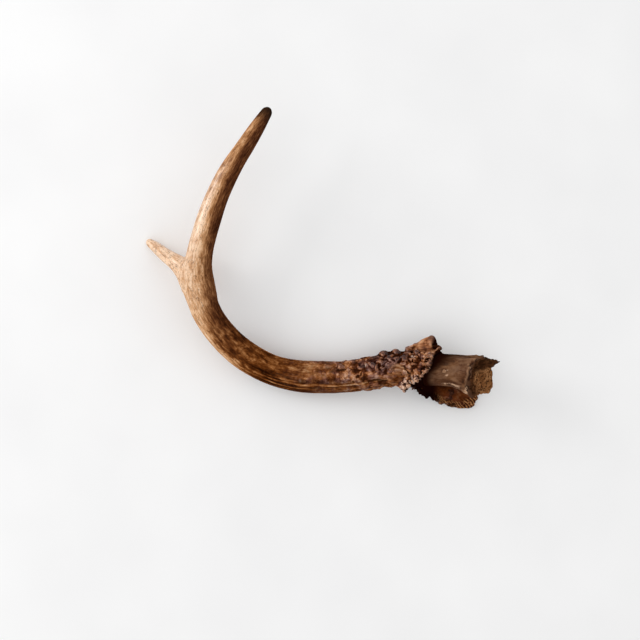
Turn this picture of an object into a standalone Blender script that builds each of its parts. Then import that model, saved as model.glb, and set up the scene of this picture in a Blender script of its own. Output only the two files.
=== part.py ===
"""A deer antler lying on a table: the beam with its burr, one tine, and the skull bone it grew from.

The antler rests on the tip of its tine, the belly of its beam and the fan-shaped lobe of its burr.
+Z is up and the table is at zero. Points and sizes below are millimetres; the solids are metres.
"""

import math

import bmesh
import bpy
import numpy as np
from mathutils import Matrix, Vector, noise

MM = 0.001
ORIGIN = (-1.5, -4.25, 0.0)  # the middle of the antler's box on the table, in the points below

# ---- the trunk: one line through the beam, the burr and the skull bone ----
# Each station: x, y and height of the centre, then half the width seen from above.
BEAM = (
    (-44.8, 127, 57.5, 4.4),
    (-53.5, 113.5, 58.0, 6.1),
    (-64.5, 96, 58.5, 7.5),
    (-76.5, 77.5, 57.5, 8.7),
    (-87, 58.5, 56, 9.7),
    (-95, 39, 53.5, 10.4),
    (-101.5, 19.5, 50.5, 10.8),
    (-106.5, -0.5, 47, 11.6),
    (-108, -19.5, 43, 12.4),
    (-105, -37.5, 38, 12.9),
    (-96.5, -57, 31.5, 12.8),
    (-82.5, -75, 25, 13.0),
    (-65, -89.5, 19.5, 13.2),
    (-42, -101, 15.3, 13.6),
    (-19.5, -106, 13.4, 14.0),
    (3, -107, 13.4, 14.2),
    (25, -106, 15.6, 14.2),
    (48, -102.5, 19.5, 14.4),
    (70, -99.5, 24.5, 14.8),
)
BONE = (
    (92, -99.5, 30, 14.6),
    (104, -99.5, 33.5, 14.0),
    (116.5, -100, 37.5, 14.0),
    (129.5, -102, 42.5, 16.1),
    (139.5, -104, 46, 18.3),
)
FLATNESS_AT = (0.0, 0.12, 0.3, 0.42, 0.6, 0.85, 1.0)  # along the trunk, from the tip
FLATNESS = (0.95, 0.9, 0.86, 0.84, 0.94, 0.98, 0.98)  # height of a section over its width
TIP_ROUNDING = 5.0

# ---- the tine ----
TINE = (
    (-106, -27, 41.5, 13.0),
    (-113.5, -18, 41, 11.6),
    (-124.5, -8, 35.5, 8.2),
    (-137, 0.5, 24, 6.2),
    (-148, 9, 10.5, 4.8),
    (-155, 14, 2.4, 3.4),
)
TINE_FLATNESS = (0.68, 0.98)  # height of a section over its width, at the root and at the tip
TINE_ROUNDING = 4.0
FORK_CUT = (-123.5, -7.0, 35.5)  # where beam and tine are parted
FORK_CUT_AXIS = (-0.72, 0.40, -0.57)

# ---- the burr: its rim, from the top round the side away from the table and under the bone ----
# Each point: x, y, z, how far back along the trunk the burr starts to flare towards it, and how
# straight that flare is (0 hollow, 1 straight).
BURR_RIM = (
    (102, -78, 34, 18, 0.5),
    (98.5, -83, 41, 13, 0.3),
    (95, -89, 47, 11, 0.3),
    (91.5, -98.5, 49.5, 11, 0.3),
    (84.5, -107, 46.5, 11, 0.3),
    (75.5, -113.8, 41, 11, 0.3),
    (72, -117, 34, 12, 0.3),
    (74, -116.8, 28.5, 13, 0.3),
    (80, -114.8, 21.5, 14, 0.3),
    (85, -119.3, 18, 17, 0.4),
    (93, -124, 14, 20, 0.5),
    (103, -127.8, 8, 24, 0.6),
    (112.5, -132.5, 3.5, 28, 0.7),
    (125.5, -135.5, 1.0, 34, 0.7),
    (134, -133, 0.3, 36, 0.7),
    (138.5, -124, 0.3, 35, 0.7),
    (137.5, -112.5, 0.3, 33, 0.7),
    (132, -102, 0.6, 29, 0.6),
    (122, -94, 5.5, 23, 0.5),
    (112, -91, 12.5, 18, 0.4),
    (103, -84, 22, 17, 0.5),
    (98.5, -70, 29, 24, 1.35),
    (96.4, -78, 33, 21, 1.0),
)
FLARE_FULLNESS = (0.8, 0.9)  # how far the hollow flare bulges as it leaves the beam and as it arrives
FLARE_CLEARANCE = 7.0  # the flare starts at least so far before the joint
BLEND_BACK = 55.0  # from so far before the flare the sections turn to follow the rim's points
BURR_REACH = 110.0  # the burr lies on no more than this last stretch of the trunk
RIM_EVENNESS = 0.45  # 1 divides the rim by angle, 0 by length
RIM_STEP = math.radians(2)  # the rim goes on round the trunk by at least this at each point
JOINT_POINT = (97, -101, 32.5)  # the flat joint between the antler and the skull bone
JOINT_AXIS = (0.76, -0.36, 0.54)
CUP_CLEARANCE = 0.7  # how much wider the burr's cup starts than the bone in it
CUP_HOLLOW = 0.5  # how steeply the cup falls in from its rim
CUP_LANDING = 0.5  # how squarely it comes to the bone
RIM_TILT = 0.35  # how far the rim's faces turn from the joint's plane to square across the bone
RIM_THICKNESS = 3.4
PIECE_GAP = 0.3  # between two pieces that meet
SPIKE = (95, -76, 31)  # the middle of the burr's one long, smooth lobe
SPIKE_CALM = (9.0, 14.0)  # nearer than the first of these it has no teeth
SPIKE_TIP = (98.5, -70, 29)
SPIKE_TIP_REACH = (3.5, 8.5)  # nearer than the first of these the rim has all of its extra thickness
SPIKE_THICKENING = 4.6
SPIKE_LEAN = math.radians(50)  # how far over its front has come where the flare meets it

# ---- the broken end of the skull bone, round from the spur's side ----
BREAK_RIM = (
    (138, -87, 41.5),
    (153, -91.5, 47),
    (137.5, -89.5, 54),
    (131, -94, 58.5),
    (129, -102.5, 60.5),
    (127, -111, 57.5),
    (129, -118.5, 52),
    (132.5, -123, 44),
    (140.5, -120.5, 36),
    (146.5, -120, 31.5),
    (150, -115, 29),
    (150.5, -106, 28),
    (149.5, -98.5, 29.5),
    (145.5, -91, 35),
)
BREAK_CENTRE = (141, -105, 44)
BREAK_HOLLOW = (139, -97, 52)  # the pit under the spur
BREAK_HOLLOW_DEPTH = 5.0
BREAK_HOLLOW_REACH = 8.0
BREAK_EVENNESS = 0.6  # 1 divides the broken rim by angle, 0 by length
BREAK_BLEND = (0.15, 1.0)  # over this share of the wall the bone turns from a tube to its rim
HOLLOW_BLEND = 0.25  # over this share of the broken face the pit reaches its depth

# ---- where on a sheet the relief comes in and goes ----
# On the beam 0 is the tip, 1 the start of the flare, 2 and 3 the rim's two edges, 4 the foot
# of the cup and 5 the middle of the joint. On the bone 1 is the edge of the joint, 2 the
# broken rim and 3 the middle of the broken face.
RELIEF_END = (4.0, 3.75)
LUMPS_END = (3.2, 2.6)
KNOBS_END = (2.3, 1.8)
RIBS_START = (1.2, 2.0)
RIBS_END = (4.0, 3.1)
BONE_WALL_START = (1.25, 1.5)
BONE_WALL_END = (2.05, 1.95)
BONE_FACE_START = (2.05, 2.3)
TINE_START = (0.0, 0.1)
TINE_ROOT_OPENS = (-0.001, 0.02)  # where the tine's sheet opens from a point to a tube
TINE_FLATTENS = (0.1, 0.7)

# ---- relief ----
SEED = 7
GROOVES = 17  # round the beam
GROOVE_DEPTH = 0.4
GROOVE_FAR = 0.35  # how deep the grooves are far from the burr, as a share
GROOVE_WANDER = (28.0, 1.5)  # the size of what bends the grooves, and how far it does
ROUGH_REACH = (95.0, 10.0)  # the beam grows rougher from the first to the second, from the joint
LUMP_SIZE = 7.0
LUMP_HEIGHT = 1.1
PEARL_REGION = 110.0  # how far from the burr the beam has pearls
PEARL_COUNT = 200
PEARL_RADII = (1.5, 3.7)
PEARL_FAR = 0.4  # how large a pearl may grow far from the burr, as a share
PEARL_HEIGHTS = (0.15, 0.60)  # over its radius: of the farthest pearl and of the nearest
RIM_LOBES = 38
LOBE_DRIFT = ((3, 0.35, 0.8), (7, 0.25, 2.1))  # waves round the rim, size and phase
LOBE_SIZES = (0.72, 0.28)  # the middle size of a lobe, and how much it varies
LOBE_MIDDLE = 0.6  # a lobe of this height stands on the rim's own line
LOBE_DEPTH = 2.6
FAN_LOBE_DEPTH = 1.4  # on the fan-shaped lobe, which lies below this height:
FAN_TOP = 24.0
SCALLOPS = 92  # the small teeth between the lobes
SCALLOP_DRIFT = ((5, 0.6, 1.9), (13, 0.4, 0.7))
SCALLOP_SIZES = (0.65, 0.35)
SCALLOP_DEPTH = 1.5
RIB_HEIGHT = 1.1
KNOBS = (  # x and y seen from above, radius and height of a single large knob
    (54.5, -83.0, 5.2, 4.0),
    (64.8, -83.0, 4.8, 3.6),
    (45.0, -94.0, 3.4, 1.8),
    (36.5, -95.0, 3.2, 1.2),
    (56.8, -96.2, 4.0, 2.2),
    (59.0, -88.5, 3.4, 1.8),
    (52.4, -100.0, 3.0, 1.4),
    (17.3, -96.0, 3.6, 2.2),
    (71.9, -88.6, 4.6, 2.4),
    (75.6, -95.6, 4.0, 2.4),
    (71.9, -101.4, 3.4, 2.0),
    (78.5, -80.5, 3.0, 1.8),
    (84.5, -84.5, 4.2, 2.6),
    (86.5, -93.5, 4.4, 1.8),
    (81.5, -100.5, 4.0, 1.8),
)
DENTS = (  # x and y seen from above, radius and depth of a hollow
    (31.8, -106.7, 3.4, 1.6),
    (50.0, -95.5, 3.4, 1.8),
    (54.0, -103.4, 3.2, 1.2),
    (63.0, -90.5, 3.2, 1.6),
    (76.5, -106.0, 3.0, 1.6),
    (54.5, -114.5, 9.0, 1.6),
)
KNOB_ROUNDNESS = 0.8
BONE_KNOBS = (  # x and y seen from above, radius and height
    (109.5, -100.5, 3.2, 1.1),
    (126.5, -117.5, 4.5, 1.6),
    (136.5, -84.0, 3.5, 1.6),
    (118.5, -114.0, 5.0, 0.9),
)
BONE_WALL_BUMPS = ((9.0, 0.5, 3),)  # size, height and seed
BONE_FACE_BUMPS = ((3.2, 1.5, 4), (7.0, 1.5, 6))
TINE_BUMPS = ((9.0, 0.25, 5),)

# ---- mesh density ----
AROUND = 168
BEAM_ROWS = 190
FLARE_ROWS = 34
EDGE_ROWS = 8
CUP_ROWS = 26
CAP_ROWS = 5
BONE_AROUND = 120
BONE_WALL_ROWS = 46
BONE_FACE_ROWS = 22
TINE_AROUND = 48
TINE_ROWS = 60
TIP_ROWS = (0.0, 0.15, 0.6, 1.4, 2.6)  # from the beam's tip
ROW_CROWDING = 0.6  # how far the beam's rows crowd towards the burr; 0 is even
ROW_AFTER_TIP = 1.4  # the first even row, over the last of the tip's own
TINE_CROWDING = 1.2

# ---- how closely the smooth skin is sampled to find a place on it ----
SAMPLES_AROUND = 500
BEAM_SAMPLES = 150
BEAM_SAMPLED_FROM = 0.6
FLARE_SAMPLES = 60
NEAREST_SAMPLES = 400
JOINT_SAMPLES = 2000
TRUNK_SAMPLES = 3000
JOINT_ROUNDS = 12
SEEN_REACH = 1.0  # of the samples this near a place seen from above, the topmost is taken

# ---- how many triangles each solid keeps ----
BEAM_TRIANGLES = 7000
TINE_TRIANGLES = 600
BONE_TRIANGLES = 1700

# ---- looks of the plain solids: colour and roughness ----
BEAM_FINISH = ((0.20, 0.11, 0.055), 0.5)
TINE_FINISH = ((0.52, 0.36, 0.24), 0.42)
BONE_FINISH = ((0.13, 0.09, 0.065), 0.42)
FORK_BLOCK = 60.0  # the edges of the cubes that cut
TABLE_BLOCK = 600.0

FULL_TURN = 2.0 * math.pi


# ---- curves ----

def smooth_curve(at, values, x, period=None):
    """Cubic curve through a few hand-picked knots, read at x; closed if a period is given."""
    at = np.asarray(at, float)
    values = np.asarray(values, float)
    if period:
        at = np.concatenate([at[-2:] - period, at, at[:3] + period])
        values = np.concatenate([values[-2:], values, values[:3]])
        x = at[2] + np.mod(x - at[2], period)
    slope = np.gradient(values, at, axis=0)
    i = np.clip(np.searchsorted(at, x, side="right") - 1, 0, len(at) - 2)
    step = at[i + 1] - at[i]
    f = (x - at[i]) / step
    if values.ndim > 1:
        f, step = f[:, None], step[:, None]
    return (
        (1 + 2 * f) * (1 - f) ** 2 * values[i]
        + f * (1 - f) ** 2 * step * slope[i]
        + f**2 * (3 - 2 * f) * values[i + 1]
        + f**2 * (f - 1) * step * slope[i + 1]
    )


def chord_lengths(points):
    """Length along a row of points, from zero at the first."""
    steps = np.linalg.norm(np.diff(points, axis=0), axis=1)
    return np.concatenate([[0.0], np.cumsum(steps)])


def unit(vectors):
    return vectors / np.linalg.norm(vectors, axis=-1, keepdims=True)


def smoothstep(low, high, x):
    f = np.clip((x - low) / (high - low), 0.0, 1.0)
    return f * f * (3 - 2 * f)


def mix(a, b, factor):
    return a + (b - a) * factor


def waves(q, table):
    """A sum of waves round the rim; each has how many of it go round, its size and its phase."""
    return sum(size * np.sin(FULL_TURN * count * q + phase) for count, size, phase in table)


class Limb:
    """A bent, tapering round limb along a smooth line through stations of centre and half width."""

    def __init__(self, stations):
        self.stations = np.array(stations, float)
        self.at = chord_lengths(self.stations[:, :3])
        self.length = self.at[-1]

    def centre(self, s):
        return smooth_curve(self.at, self.stations[:, :3], s)

    def half_width(self, s):
        return smooth_curve(self.at, self.stations[:, 3], s)

    def frame(self, s):
        """Unit vectors along the limb, across it and away from the table."""
        along = unit(self.centre(s + 0.5) - self.centre(s - 0.5))
        across = unit(np.cross(along, np.array([0.0, 0.0, 1.0])))
        return along, across, np.cross(along, across)

    def direction(self, s, angle):
        """The way out of the limb at an angle from its inner side, a quarter turn being up."""
        along, across, down = self.frame(s)
        return -np.cos(angle)[:, None] * across - np.sin(angle)[:, None] * down


class Trunk(Limb):
    """The beam, which goes on through the burr as the skull bone, from the tip."""

    def surface(self, s, angle, wider=0.0):
        flat = np.interp(s / self.length, FLATNESS_AT, FLATNESS)
        near_tip = np.clip(1 - s / TIP_ROUNDING, 0.0, 1.0)
        radius = self.half_width(s) * np.sqrt(1 - near_tip**2) + wider
        along, across, down = self.frame(s)
        inner = -np.cos(angle) * radius
        up = -np.sin(angle) * radius * flat
        return self.centre(s) + inner[:, None] * across + up[:, None] * down


TRUNK = Trunk(BEAM + BONE)


# ---- the burr ----

class Burr:
    """The rim as a closed curve of q, from 0 to 1, and the angles and roots that go with it."""

    def __init__(self):
        rim = np.array(BURR_RIM, float)[:, :3]
        self.back, self.straight = np.array(BURR_RIM, float)[:, 3:].T
        chords = chord_lengths(np.vstack([rim, rim[:1]]))
        self.rim = rim
        self.trunk_at = self.nearest_on_trunk(rim)
        along, across, down = TRUNK.frame(self.trunk_at)
        out = rim - TRUNK.centre(self.trunk_at)
        inner = -(out * across).sum(axis=1)
        up = -(out * down).sum(axis=1)
        angles = np.unwrap(np.arctan2(up, inner))
        still_to_come = np.arange(len(rim), 0, -1)
        self.angles = np.minimum(angles, angles[0] + FULL_TURN - RIM_STEP * still_to_come)
        self.start_angle = self.angles[0]
        by_angle = (self.angles - self.start_angle) / FULL_TURN
        self.q = mix(chords[:-1] / chords[-1], by_angle, RIM_EVENNESS)

    @staticmethod
    def nearest_on_trunk(points):
        """Where along the trunk each point stands, square to the bone's axis."""
        s = np.linspace(TRUNK.length - BURR_REACH, TRUNK.length, NEAREST_SAMPLES)
        line = TRUNK.centre(s)
        gap = np.linalg.norm(points[:, None, :] - line[None, :, :], axis=2)
        return s[gap.argmin(axis=1)]

    def point(self, q):
        return smooth_curve(self.q, self.rim, q, period=1.0)

    def angle(self, q):
        extra = self.angles - self.start_angle - FULL_TURN * self.q
        return self.start_angle + FULL_TURN * q + smooth_curve(self.q, extra, q, period=1.0)

    def trunk_position(self, q):
        return smooth_curve(self.q, self.trunk_at, q, period=1.0)

    def flare_back(self, q):
        return smooth_curve(self.q, self.back, q, period=1.0)

    def flare_straight(self, q):
        return smooth_curve(self.q, self.straight, q, period=1.0)


BURR = Burr()


def angle_at(q, s, root_at):
    """Sections are evenly divided on the beam, and follow the rim's own points near the burr."""
    even = BURR.start_angle + FULL_TURN * q
    return mix(even, BURR.angle(q), smoothstep(root_at - BLEND_BACK, root_at, s))


def joint_station():
    """Where the trunk's line passes through the flat joint."""
    s = np.linspace(TRUNK.length - BURR_REACH, TRUNK.length, JOINT_SAMPLES)
    side = (TRUNK.centre(s) - np.array(JOINT_POINT)) @ np.array(JOINT_AXIS)
    return s[np.abs(side).argmin()]


JOINT_AT = joint_station()


def joint_ring(q, wider=0.0, shift=0.0):
    """The line where the trunk's skin meets the flat joint, moved along the bone by a shift."""
    axis = np.array(JOINT_AXIS) / np.linalg.norm(JOINT_AXIS)
    point = np.array(JOINT_POINT) + shift * axis
    angle = BURR.angle(q)
    s = np.full(len(q), JOINT_AT)
    for _ in range(JOINT_ROUNDS):
        skin = TRUNK.surface(s, angle, wider)
        along = TRUNK.frame(s)[0]
        s = s - ((skin - point) @ axis) / (along @ axis)
    return TRUNK.surface(s, angle, wider), s


def flare_root(q):
    """How far along the trunk the burr starts to flare."""
    root = BURR.trunk_position(q) - BURR.flare_back(q)
    return np.minimum(root, joint_ring(q)[1] - FLARE_CLEARANCE)


def hermite(p0, m0, p1, m1, f):
    f = f[:, None]
    return (
        (1 + 2 * f) * (1 - f) ** 2 * p0
        + f * (1 - f) ** 2 * m0
        + f**2 * (3 - 2 * f) * p1
        + f**2 * (f - 1) * m1
    )


def uneven_teeth(q, count, drift, sizes, beats):
    """Rounded teeth round the rim, 0 in their notches, of uneven widths and sizes."""
    tooth = np.abs(np.sin(math.pi * (count * q + waves(q, drift))))
    middle, change = sizes
    slow, quick = beats
    return tooth, middle + change * waves(q, (slow,)) * waves(q, (quick,))


def lobe_wave(q):
    """The burr's large scallops: 0 in the notches and 1 on the lobes."""
    tooth, size = uneven_teeth(q, RIM_LOBES, LOBE_DRIFT, LOBE_SIZES, ((5, 1, 0.4), (11, 1, 0)))
    return tooth * size


def scallop_wave(q):
    """The small teeth between the lobes, from -0.5 to 0.5."""
    tooth, size = uneven_teeth(q, SCALLOPS, SCALLOP_DRIFT, SCALLOP_SIZES, ((17, 1, 1.0), (29, 1, 0)))
    return (tooth - 0.5) * size


def distance(points, place):
    return np.linalg.norm(points - np.array(place, float), axis=1)


def off_spike(points):
    """Nothing on the burr's long smooth lobe, one away from it."""
    return smoothstep(*SPIKE_CALM, distance(points, SPIKE))


def rim_stand(q):
    """How far the burr's teeth stand out of the rim's line."""
    line = BURR.point(q)
    on_fan = smoothstep(FAN_TOP, 0.5 * FAN_TOP, line[:, 2])
    lobes = (lobe_wave(q) - LOBE_MIDDLE) * mix(LOBE_DEPTH, FAN_LOBE_DEPTH, on_fan)
    return (lobes + scallop_wave(q) * SCALLOP_DEPTH) * off_spike(line)


def beam_skin(q, t):
    """The smooth antler. t is 0 at the tip, 1 where the burr flares, 2 and 3 on either face of
    its rim, 4 where its cup meets the skull bone, and 5 in the middle of the flat joint."""
    joint_axis = np.array(JOINT_AXIS) / np.linalg.norm(JOINT_AXIS)
    root_at = flare_root(q)
    root = TRUNK.surface(root_at, BURR.angle(q))
    along = TRUNK.frame(root_at)[0]
    out = unit(BURR.point(q) - TRUNK.centre(BURR.trunk_position(q)))
    rim = BURR.point(q) + rim_stand(q)[:, None] * out
    span = np.linalg.norm(rim - root, axis=1, keepdims=True)
    cup, cup_at = joint_ring(q, wider=CUP_CLEARANCE)
    face = unit(mix(joint_axis[None, :], TRUNK.frame(cup_at)[0], RIM_TILT))
    face = np.cross(out, unit(np.cross(face, out)))
    spike = smoothstep(*SPIKE_TIP_REACH[::-1], distance(BURR.point(q), SPIKE_TIP))[:, None]
    half = 0.5 * (RIM_THICKNESS + SPIKE_THICKENING * spike)
    lean = SPIKE_LEAN * spike
    rim = rim - 0.5 * SPIKE_THICKENING * spike * face
    front = rim - half * np.cos(lean) * face - half * (1 - np.sin(lean)) * out
    back = rim + half * face - half * out

    s = np.clip(t, 0, 1) * root_at
    skin = TRUNK.surface(s, angle_at(q, s, root_at))
    straight = BURR.flare_straight(q)[:, None]
    leave = mix(along * span * FLARE_FULLNESS[0], front - root, straight)
    arrive = mix(out * span * FLARE_FULLNESS[1], front - root, straight)
    flare = hermite(root, leave, front, arrive, np.clip(t - 1, 0, 1))
    turn = mix(lean, math.pi, np.clip(t - 2, 0, 1)[:, None])
    edge = rim - half * out - half * np.cos(turn) * face + half * np.sin(turn) * out
    reach = np.linalg.norm(cup - back, axis=1, keepdims=True)
    to_bone = -TRUNK.direction(cup_at, BURR.angle(q))
    into_cup = -(out + CUP_HOLLOW * face) * reach
    inward = hermite(back, into_cup, cup, to_bone * reach * CUP_LANDING, np.clip(t - 3, 0, 1))
    middle = np.array(JOINT_POINT, float)
    cap = mix(cup, middle[None, :], np.clip(t - 4, 0, 1)[:, None])
    band = np.floor(np.clip(t, 0, 4.999)).astype(int)
    return np.choose(band[:, None], [skin, flare, edge, inward, cap])


def bone_skin(q, t):
    """The smooth skull bone: t is 0 in the middle of the joint, 1 at its edge, 2 at the broken
    rim and 3 in the middle of the broken face."""
    ring, ring_at = joint_ring(q, shift=PIECE_GAP)
    axis = np.array(JOINT_AXIS) / np.linalg.norm(JOINT_AXIS)
    middle = np.array(JOINT_POINT) + PIECE_GAP * axis
    rim_points = np.array(BREAK_RIM, float)
    turn = BURR.angle(q) / FULL_TURN
    rim_turn = break_turns()
    rim = smooth_curve(rim_turn, rim_points, turn, period=1.0)
    rim_at = smooth_curve(rim_turn, BURR.nearest_on_trunk(rim_points), turn, period=1.0)

    cap = mix(middle[None, :], ring, np.clip(t, 0, 1)[:, None])
    f = np.clip(t - 1, 0, 1)
    s = mix(ring_at, np.minimum(rim_at, TRUNK.length), f)
    tube = TRUNK.surface(s, BURR.angle(q))
    end = TRUNK.surface(np.minimum(rim_at, TRUNK.length), BURR.angle(q))
    wall = tube + (rim - end) * smoothstep(*BREAK_BLEND, f)[:, None]
    f = np.clip(t - 2, 0, 1)[:, None]
    face = mix(rim, np.array(BREAK_CENTRE, float)[None, :], f)
    hollow = np.linalg.norm(face - np.array(BREAK_HOLLOW), axis=1) / BREAK_HOLLOW_REACH
    inward = BREAK_HOLLOW_DEPTH * np.exp(-hollow**2) * smoothstep(0.0, HOLLOW_BLEND, f[:, 0])
    face = face - inward[:, None] * TRUNK.frame(np.full(len(q), TRUNK.length))[0]
    band = np.floor(np.clip(t, 0, 2.999)).astype(int)
    return np.choose(band[:, None], [cap, wall, face])


def break_turns():
    """The turn, as a share of the full circle, of each of the broken rim's points."""
    rim = np.array(BREAK_RIM, float)
    s = np.full(len(rim), TRUNK.length)
    along, across, down = TRUNK.frame(s)
    out = rim - np.array(BREAK_CENTRE)
    angles = np.arctan2(-(out * down).sum(axis=1), -(out * across).sum(axis=1))
    by_angle = np.unwrap(angles) / FULL_TURN
    chords = chord_lengths(np.vstack([rim, rim[:1]]))
    by_length = chords[:-1] / chords[-1]
    return by_angle[0] + mix(by_length, by_angle - by_angle[0], BREAK_EVENNESS)


def tine_skin(q, t):
    """The smooth tine: t is 0 at its root inside the beam and 1 at its tip."""
    limb = Limb(TINE)
    s = t * (limb.length + TINE_ROUNDING * 0.6)
    near_tip = np.clip((s - limb.length + TINE_ROUNDING * 0.4) / TINE_ROUNDING, 0.0, 1.0)
    inside = np.minimum(s, limb.length)
    radius = limb.half_width(inside) * np.sqrt(1 - near_tip**2)
    radius = radius * smoothstep(*TINE_ROOT_OPENS, t)
    along, across, down = limb.frame(inside)
    flat = mix(*TINE_FLATNESS, smoothstep(*TINE_FLATTENS, t))
    side = radius * np.cos(FULL_TURN * q)
    up = radius * flat * np.sin(FULL_TURN * q)
    return (limb.centre(inside) + (s - inside)[:, None] * along
            - side[:, None] * across - up[:, None] * down)


# ---- relief: knobs, pearls, grooves and ribs ----

def on_bone(x, y):
    """The point of the trunk's skin that is seen from above at x and y."""
    s = np.linspace(0, TRUNK.length, TRUNK_SAMPLES)
    line = TRUNK.centre(s)
    at = s[[np.hypot(line[:, 0] - x, line[:, 1] - y).argmin()]]
    across = TRUNK.frame(at)[1][0, :2]
    side = float((TRUNK.centre(at)[0, :2] - (x, y)) @ across)
    angle = math.acos(np.clip(side / float(TRUNK.half_width(at)[0]), -1.0, 1.0))
    return TRUNK.surface(at, np.array([angle]))[0]


def antler_samples():
    """Points all over the smooth burr and the beam next to it."""
    on_beam = np.linspace(BEAM_SAMPLED_FROM, 1.0, BEAM_SAMPLES)
    on_flare = np.linspace(1.0, 3.0, FLARE_SAMPLES)
    rows = np.concatenate([on_beam, on_flare])
    q, t = np.meshgrid(np.linspace(0.0, 1.0, SAMPLES_AROUND), rows)
    return beam_skin(q.ravel(), t.ravel())


ANTLER_SAMPLES = antler_samples()


def on_antler(x, y):
    """The point of the smooth antler that is seen from above at x and y."""
    gap = np.hypot(ANTLER_SAMPLES[:, 0] - x, ANTLER_SAMPLES[:, 1] - y)
    near = ANTLER_SAMPLES[gap < max(SEEN_REACH, 1.2 * gap.min())]
    return near[near[:, 2].argmax()]


def beam_knobs(rng):
    """Centre, radius and height of the large knobs and of the pearls strewn round them."""
    knobs = [(on_antler(x, y), radius, height) for x, y, radius, height in KNOBS]
    for _ in range(PEARL_COUNT):
        from_burr = PEARL_REGION * rng.random() ** 2
        angle = BURR.start_angle + FULL_TURN * rng.random(1)
        centre = TRUNK.surface(np.array([JOINT_AT - FLARE_CLEARANCE - from_burr]), angle)[0]
        nearness = 1 - from_burr / PEARL_REGION
        radius = mix(*PEARL_RADII, rng.random() * mix(PEARL_FAR, 1.0, nearness))
        knobs.append((centre, radius, mix(*PEARL_HEIGHTS, nearness) * radius))
    return knobs


def knob_relief(points, knobs):
    """The height of the tallest knob over each point of the skin."""
    height = np.zeros(len(points))
    for centre, radius, top in knobs:
        share = (distance(points, centre) / radius) ** 2
        near = share < 1
        height[near] = np.maximum(height[near], top * (1 - share[near]) ** KNOB_ROUNDNESS)
    return height


def rough(points, size, seed):
    """Smooth random bumps between about -1 and 1, of the given size."""
    offset = Vector((seed * 17.3, seed * 5.1, seed * 9.7))
    return np.array([noise.noise(Vector(p) / size + offset) for p in points.tolist()])


def bumps(points, table):
    return sum(height * rough(points, size, seed) for size, height, seed in table)


def beam_relief(q, t, points):
    """Long grooves all along, and towards the burr lumps, pearls, knobs and the rim's ribs."""
    near_burr = smoothstep(*ROUGH_REACH, distance(points, JOINT_POINT))
    bend_size, bend = GROOVE_WANDER
    grooves = np.sin(FULL_TURN * GROOVES * q + bend * rough(points, bend_size, 1))
    grooves = GROOVE_DEPTH * grooves * mix(GROOVE_FAR, 1.0, near_burr)
    lumps = LUMP_HEIGHT * rough(points, LUMP_SIZE, 2) * near_burr * smoothstep(*LUMPS_END, t)
    ribbed = smoothstep(*RIBS_START, t) * smoothstep(*RIBS_END, t)
    ribs = RIB_HEIGHT * (lobe_wave(q) - 0.5) * ribbed
    knobs = knob_relief(points, beam_knobs(np.random.default_rng(SEED)))
    dents = knob_relief(points, [(on_antler(x, y), radius, depth) for x, y, radius, depth in DENTS])
    calm = off_spike(points)
    total = grooves + (lumps + ribs) * calm + (knobs - dents) * smoothstep(*KNOBS_END, t)
    return total * smoothstep(*RELIEF_END, t)


def bone_relief(q, t, points):
    """Low lumps on the wall, and a rough broken face."""
    knobs = [(on_bone(x, y), radius, height) for x, y, radius, height in BONE_KNOBS]
    wall = bumps(points, BONE_WALL_BUMPS) + knob_relief(points, knobs)
    on_wall = smoothstep(*BONE_WALL_START, t) * smoothstep(*BONE_WALL_END, t)
    return wall * on_wall + bumps(points, BONE_FACE_BUMPS) * smoothstep(*BONE_FACE_START, t)


def tine_relief(q, t, points):
    return bumps(points, TINE_BUMPS) * smoothstep(*TINE_START, t)


# ---- meshes ----

def rolled_sheet(name, around, rows, skin):
    """A flat grid rolled into a closed skin. Each vertex keeps its place, q and t, on the sheet."""
    mesh = bmesh.new()
    bmesh.ops.create_grid(mesh, x_segments=around, y_segments=len(rows) - 1, size=1)
    flat = np.array([v.co[:] for v in mesh.verts])
    q = np.round((flat[:, 0] + 1) / 2, 9)
    row = np.rint((flat[:, 1] + 1) / 2 * (len(rows) - 1)).astype(int)
    t = np.asarray(rows)[row]
    q[q >= 1.0] = 0.0
    place = mesh.verts.layers.float_vector.new("place")
    for vert, point, q_here, t_here in zip(mesh.verts, skin(q, t).tolist(), q.tolist(), t.tolist()):
        vert.co = point
        vert[place] = (q_here, t_here, 0)
    bmesh.ops.remove_doubles(mesh, verts=mesh.verts, dist=0.0005)
    bmesh.ops.recalc_face_normals(mesh, faces=mesh.faces)
    obj = bpy.data.objects.new(name, bpy.data.meshes.new(name))
    mesh.to_mesh(obj.data)
    mesh.free()
    return obj


def read(source, name):
    """A vector for each vertex, as an array."""
    values = np.empty(len(source) * 3)
    source.foreach_get(name, values)
    return values.reshape(-1, 3)


def raise_relief(obj, relief):
    """Move every vertex out along the skin by the relief's height there."""
    mesh = obj.data
    points = read(mesh.vertices, "co")
    place = read(mesh.attributes["place"].data, "vector")
    height = relief(place[:, 0], place[:, 1], points)
    points = points + read(mesh.vertices, "normal") * height[:, None]
    mesh.vertices.foreach_set("co", points.ravel())
    mesh.update()


def add_mesh(name, around, rows, skin, relief):
    obj = rolled_sheet(name, around, rows, skin)
    raise_relief(obj, relief)
    obj.data.transform(Matrix.Scale(MM, 4) @ Matrix.Translation(-Vector(ORIGIN)))
    obj.data.attributes.remove(obj.data.attributes["place"])
    return obj


def beam_rows():
    """Rows of the beam's sheet: close together at the tip and towards the burr."""
    x = np.linspace(0, 1, BEAM_ROWS)
    along = 1 - mix(1 - x, (1 - x) ** 2, ROW_CROWDING)
    tip = np.array(TIP_ROWS) / TRUNK.length
    return np.concatenate([
        tip,
        along[along > tip[-1] * ROW_AFTER_TIP],
        1 + np.linspace(0, 1, FLARE_ROWS)[1:],
        2 + np.linspace(0, 1, EDGE_ROWS)[1:],
        3 + np.linspace(0, 1, CUP_ROWS)[1:],
        4 + np.linspace(0, 1, CAP_ROWS)[1:],
    ])


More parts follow.
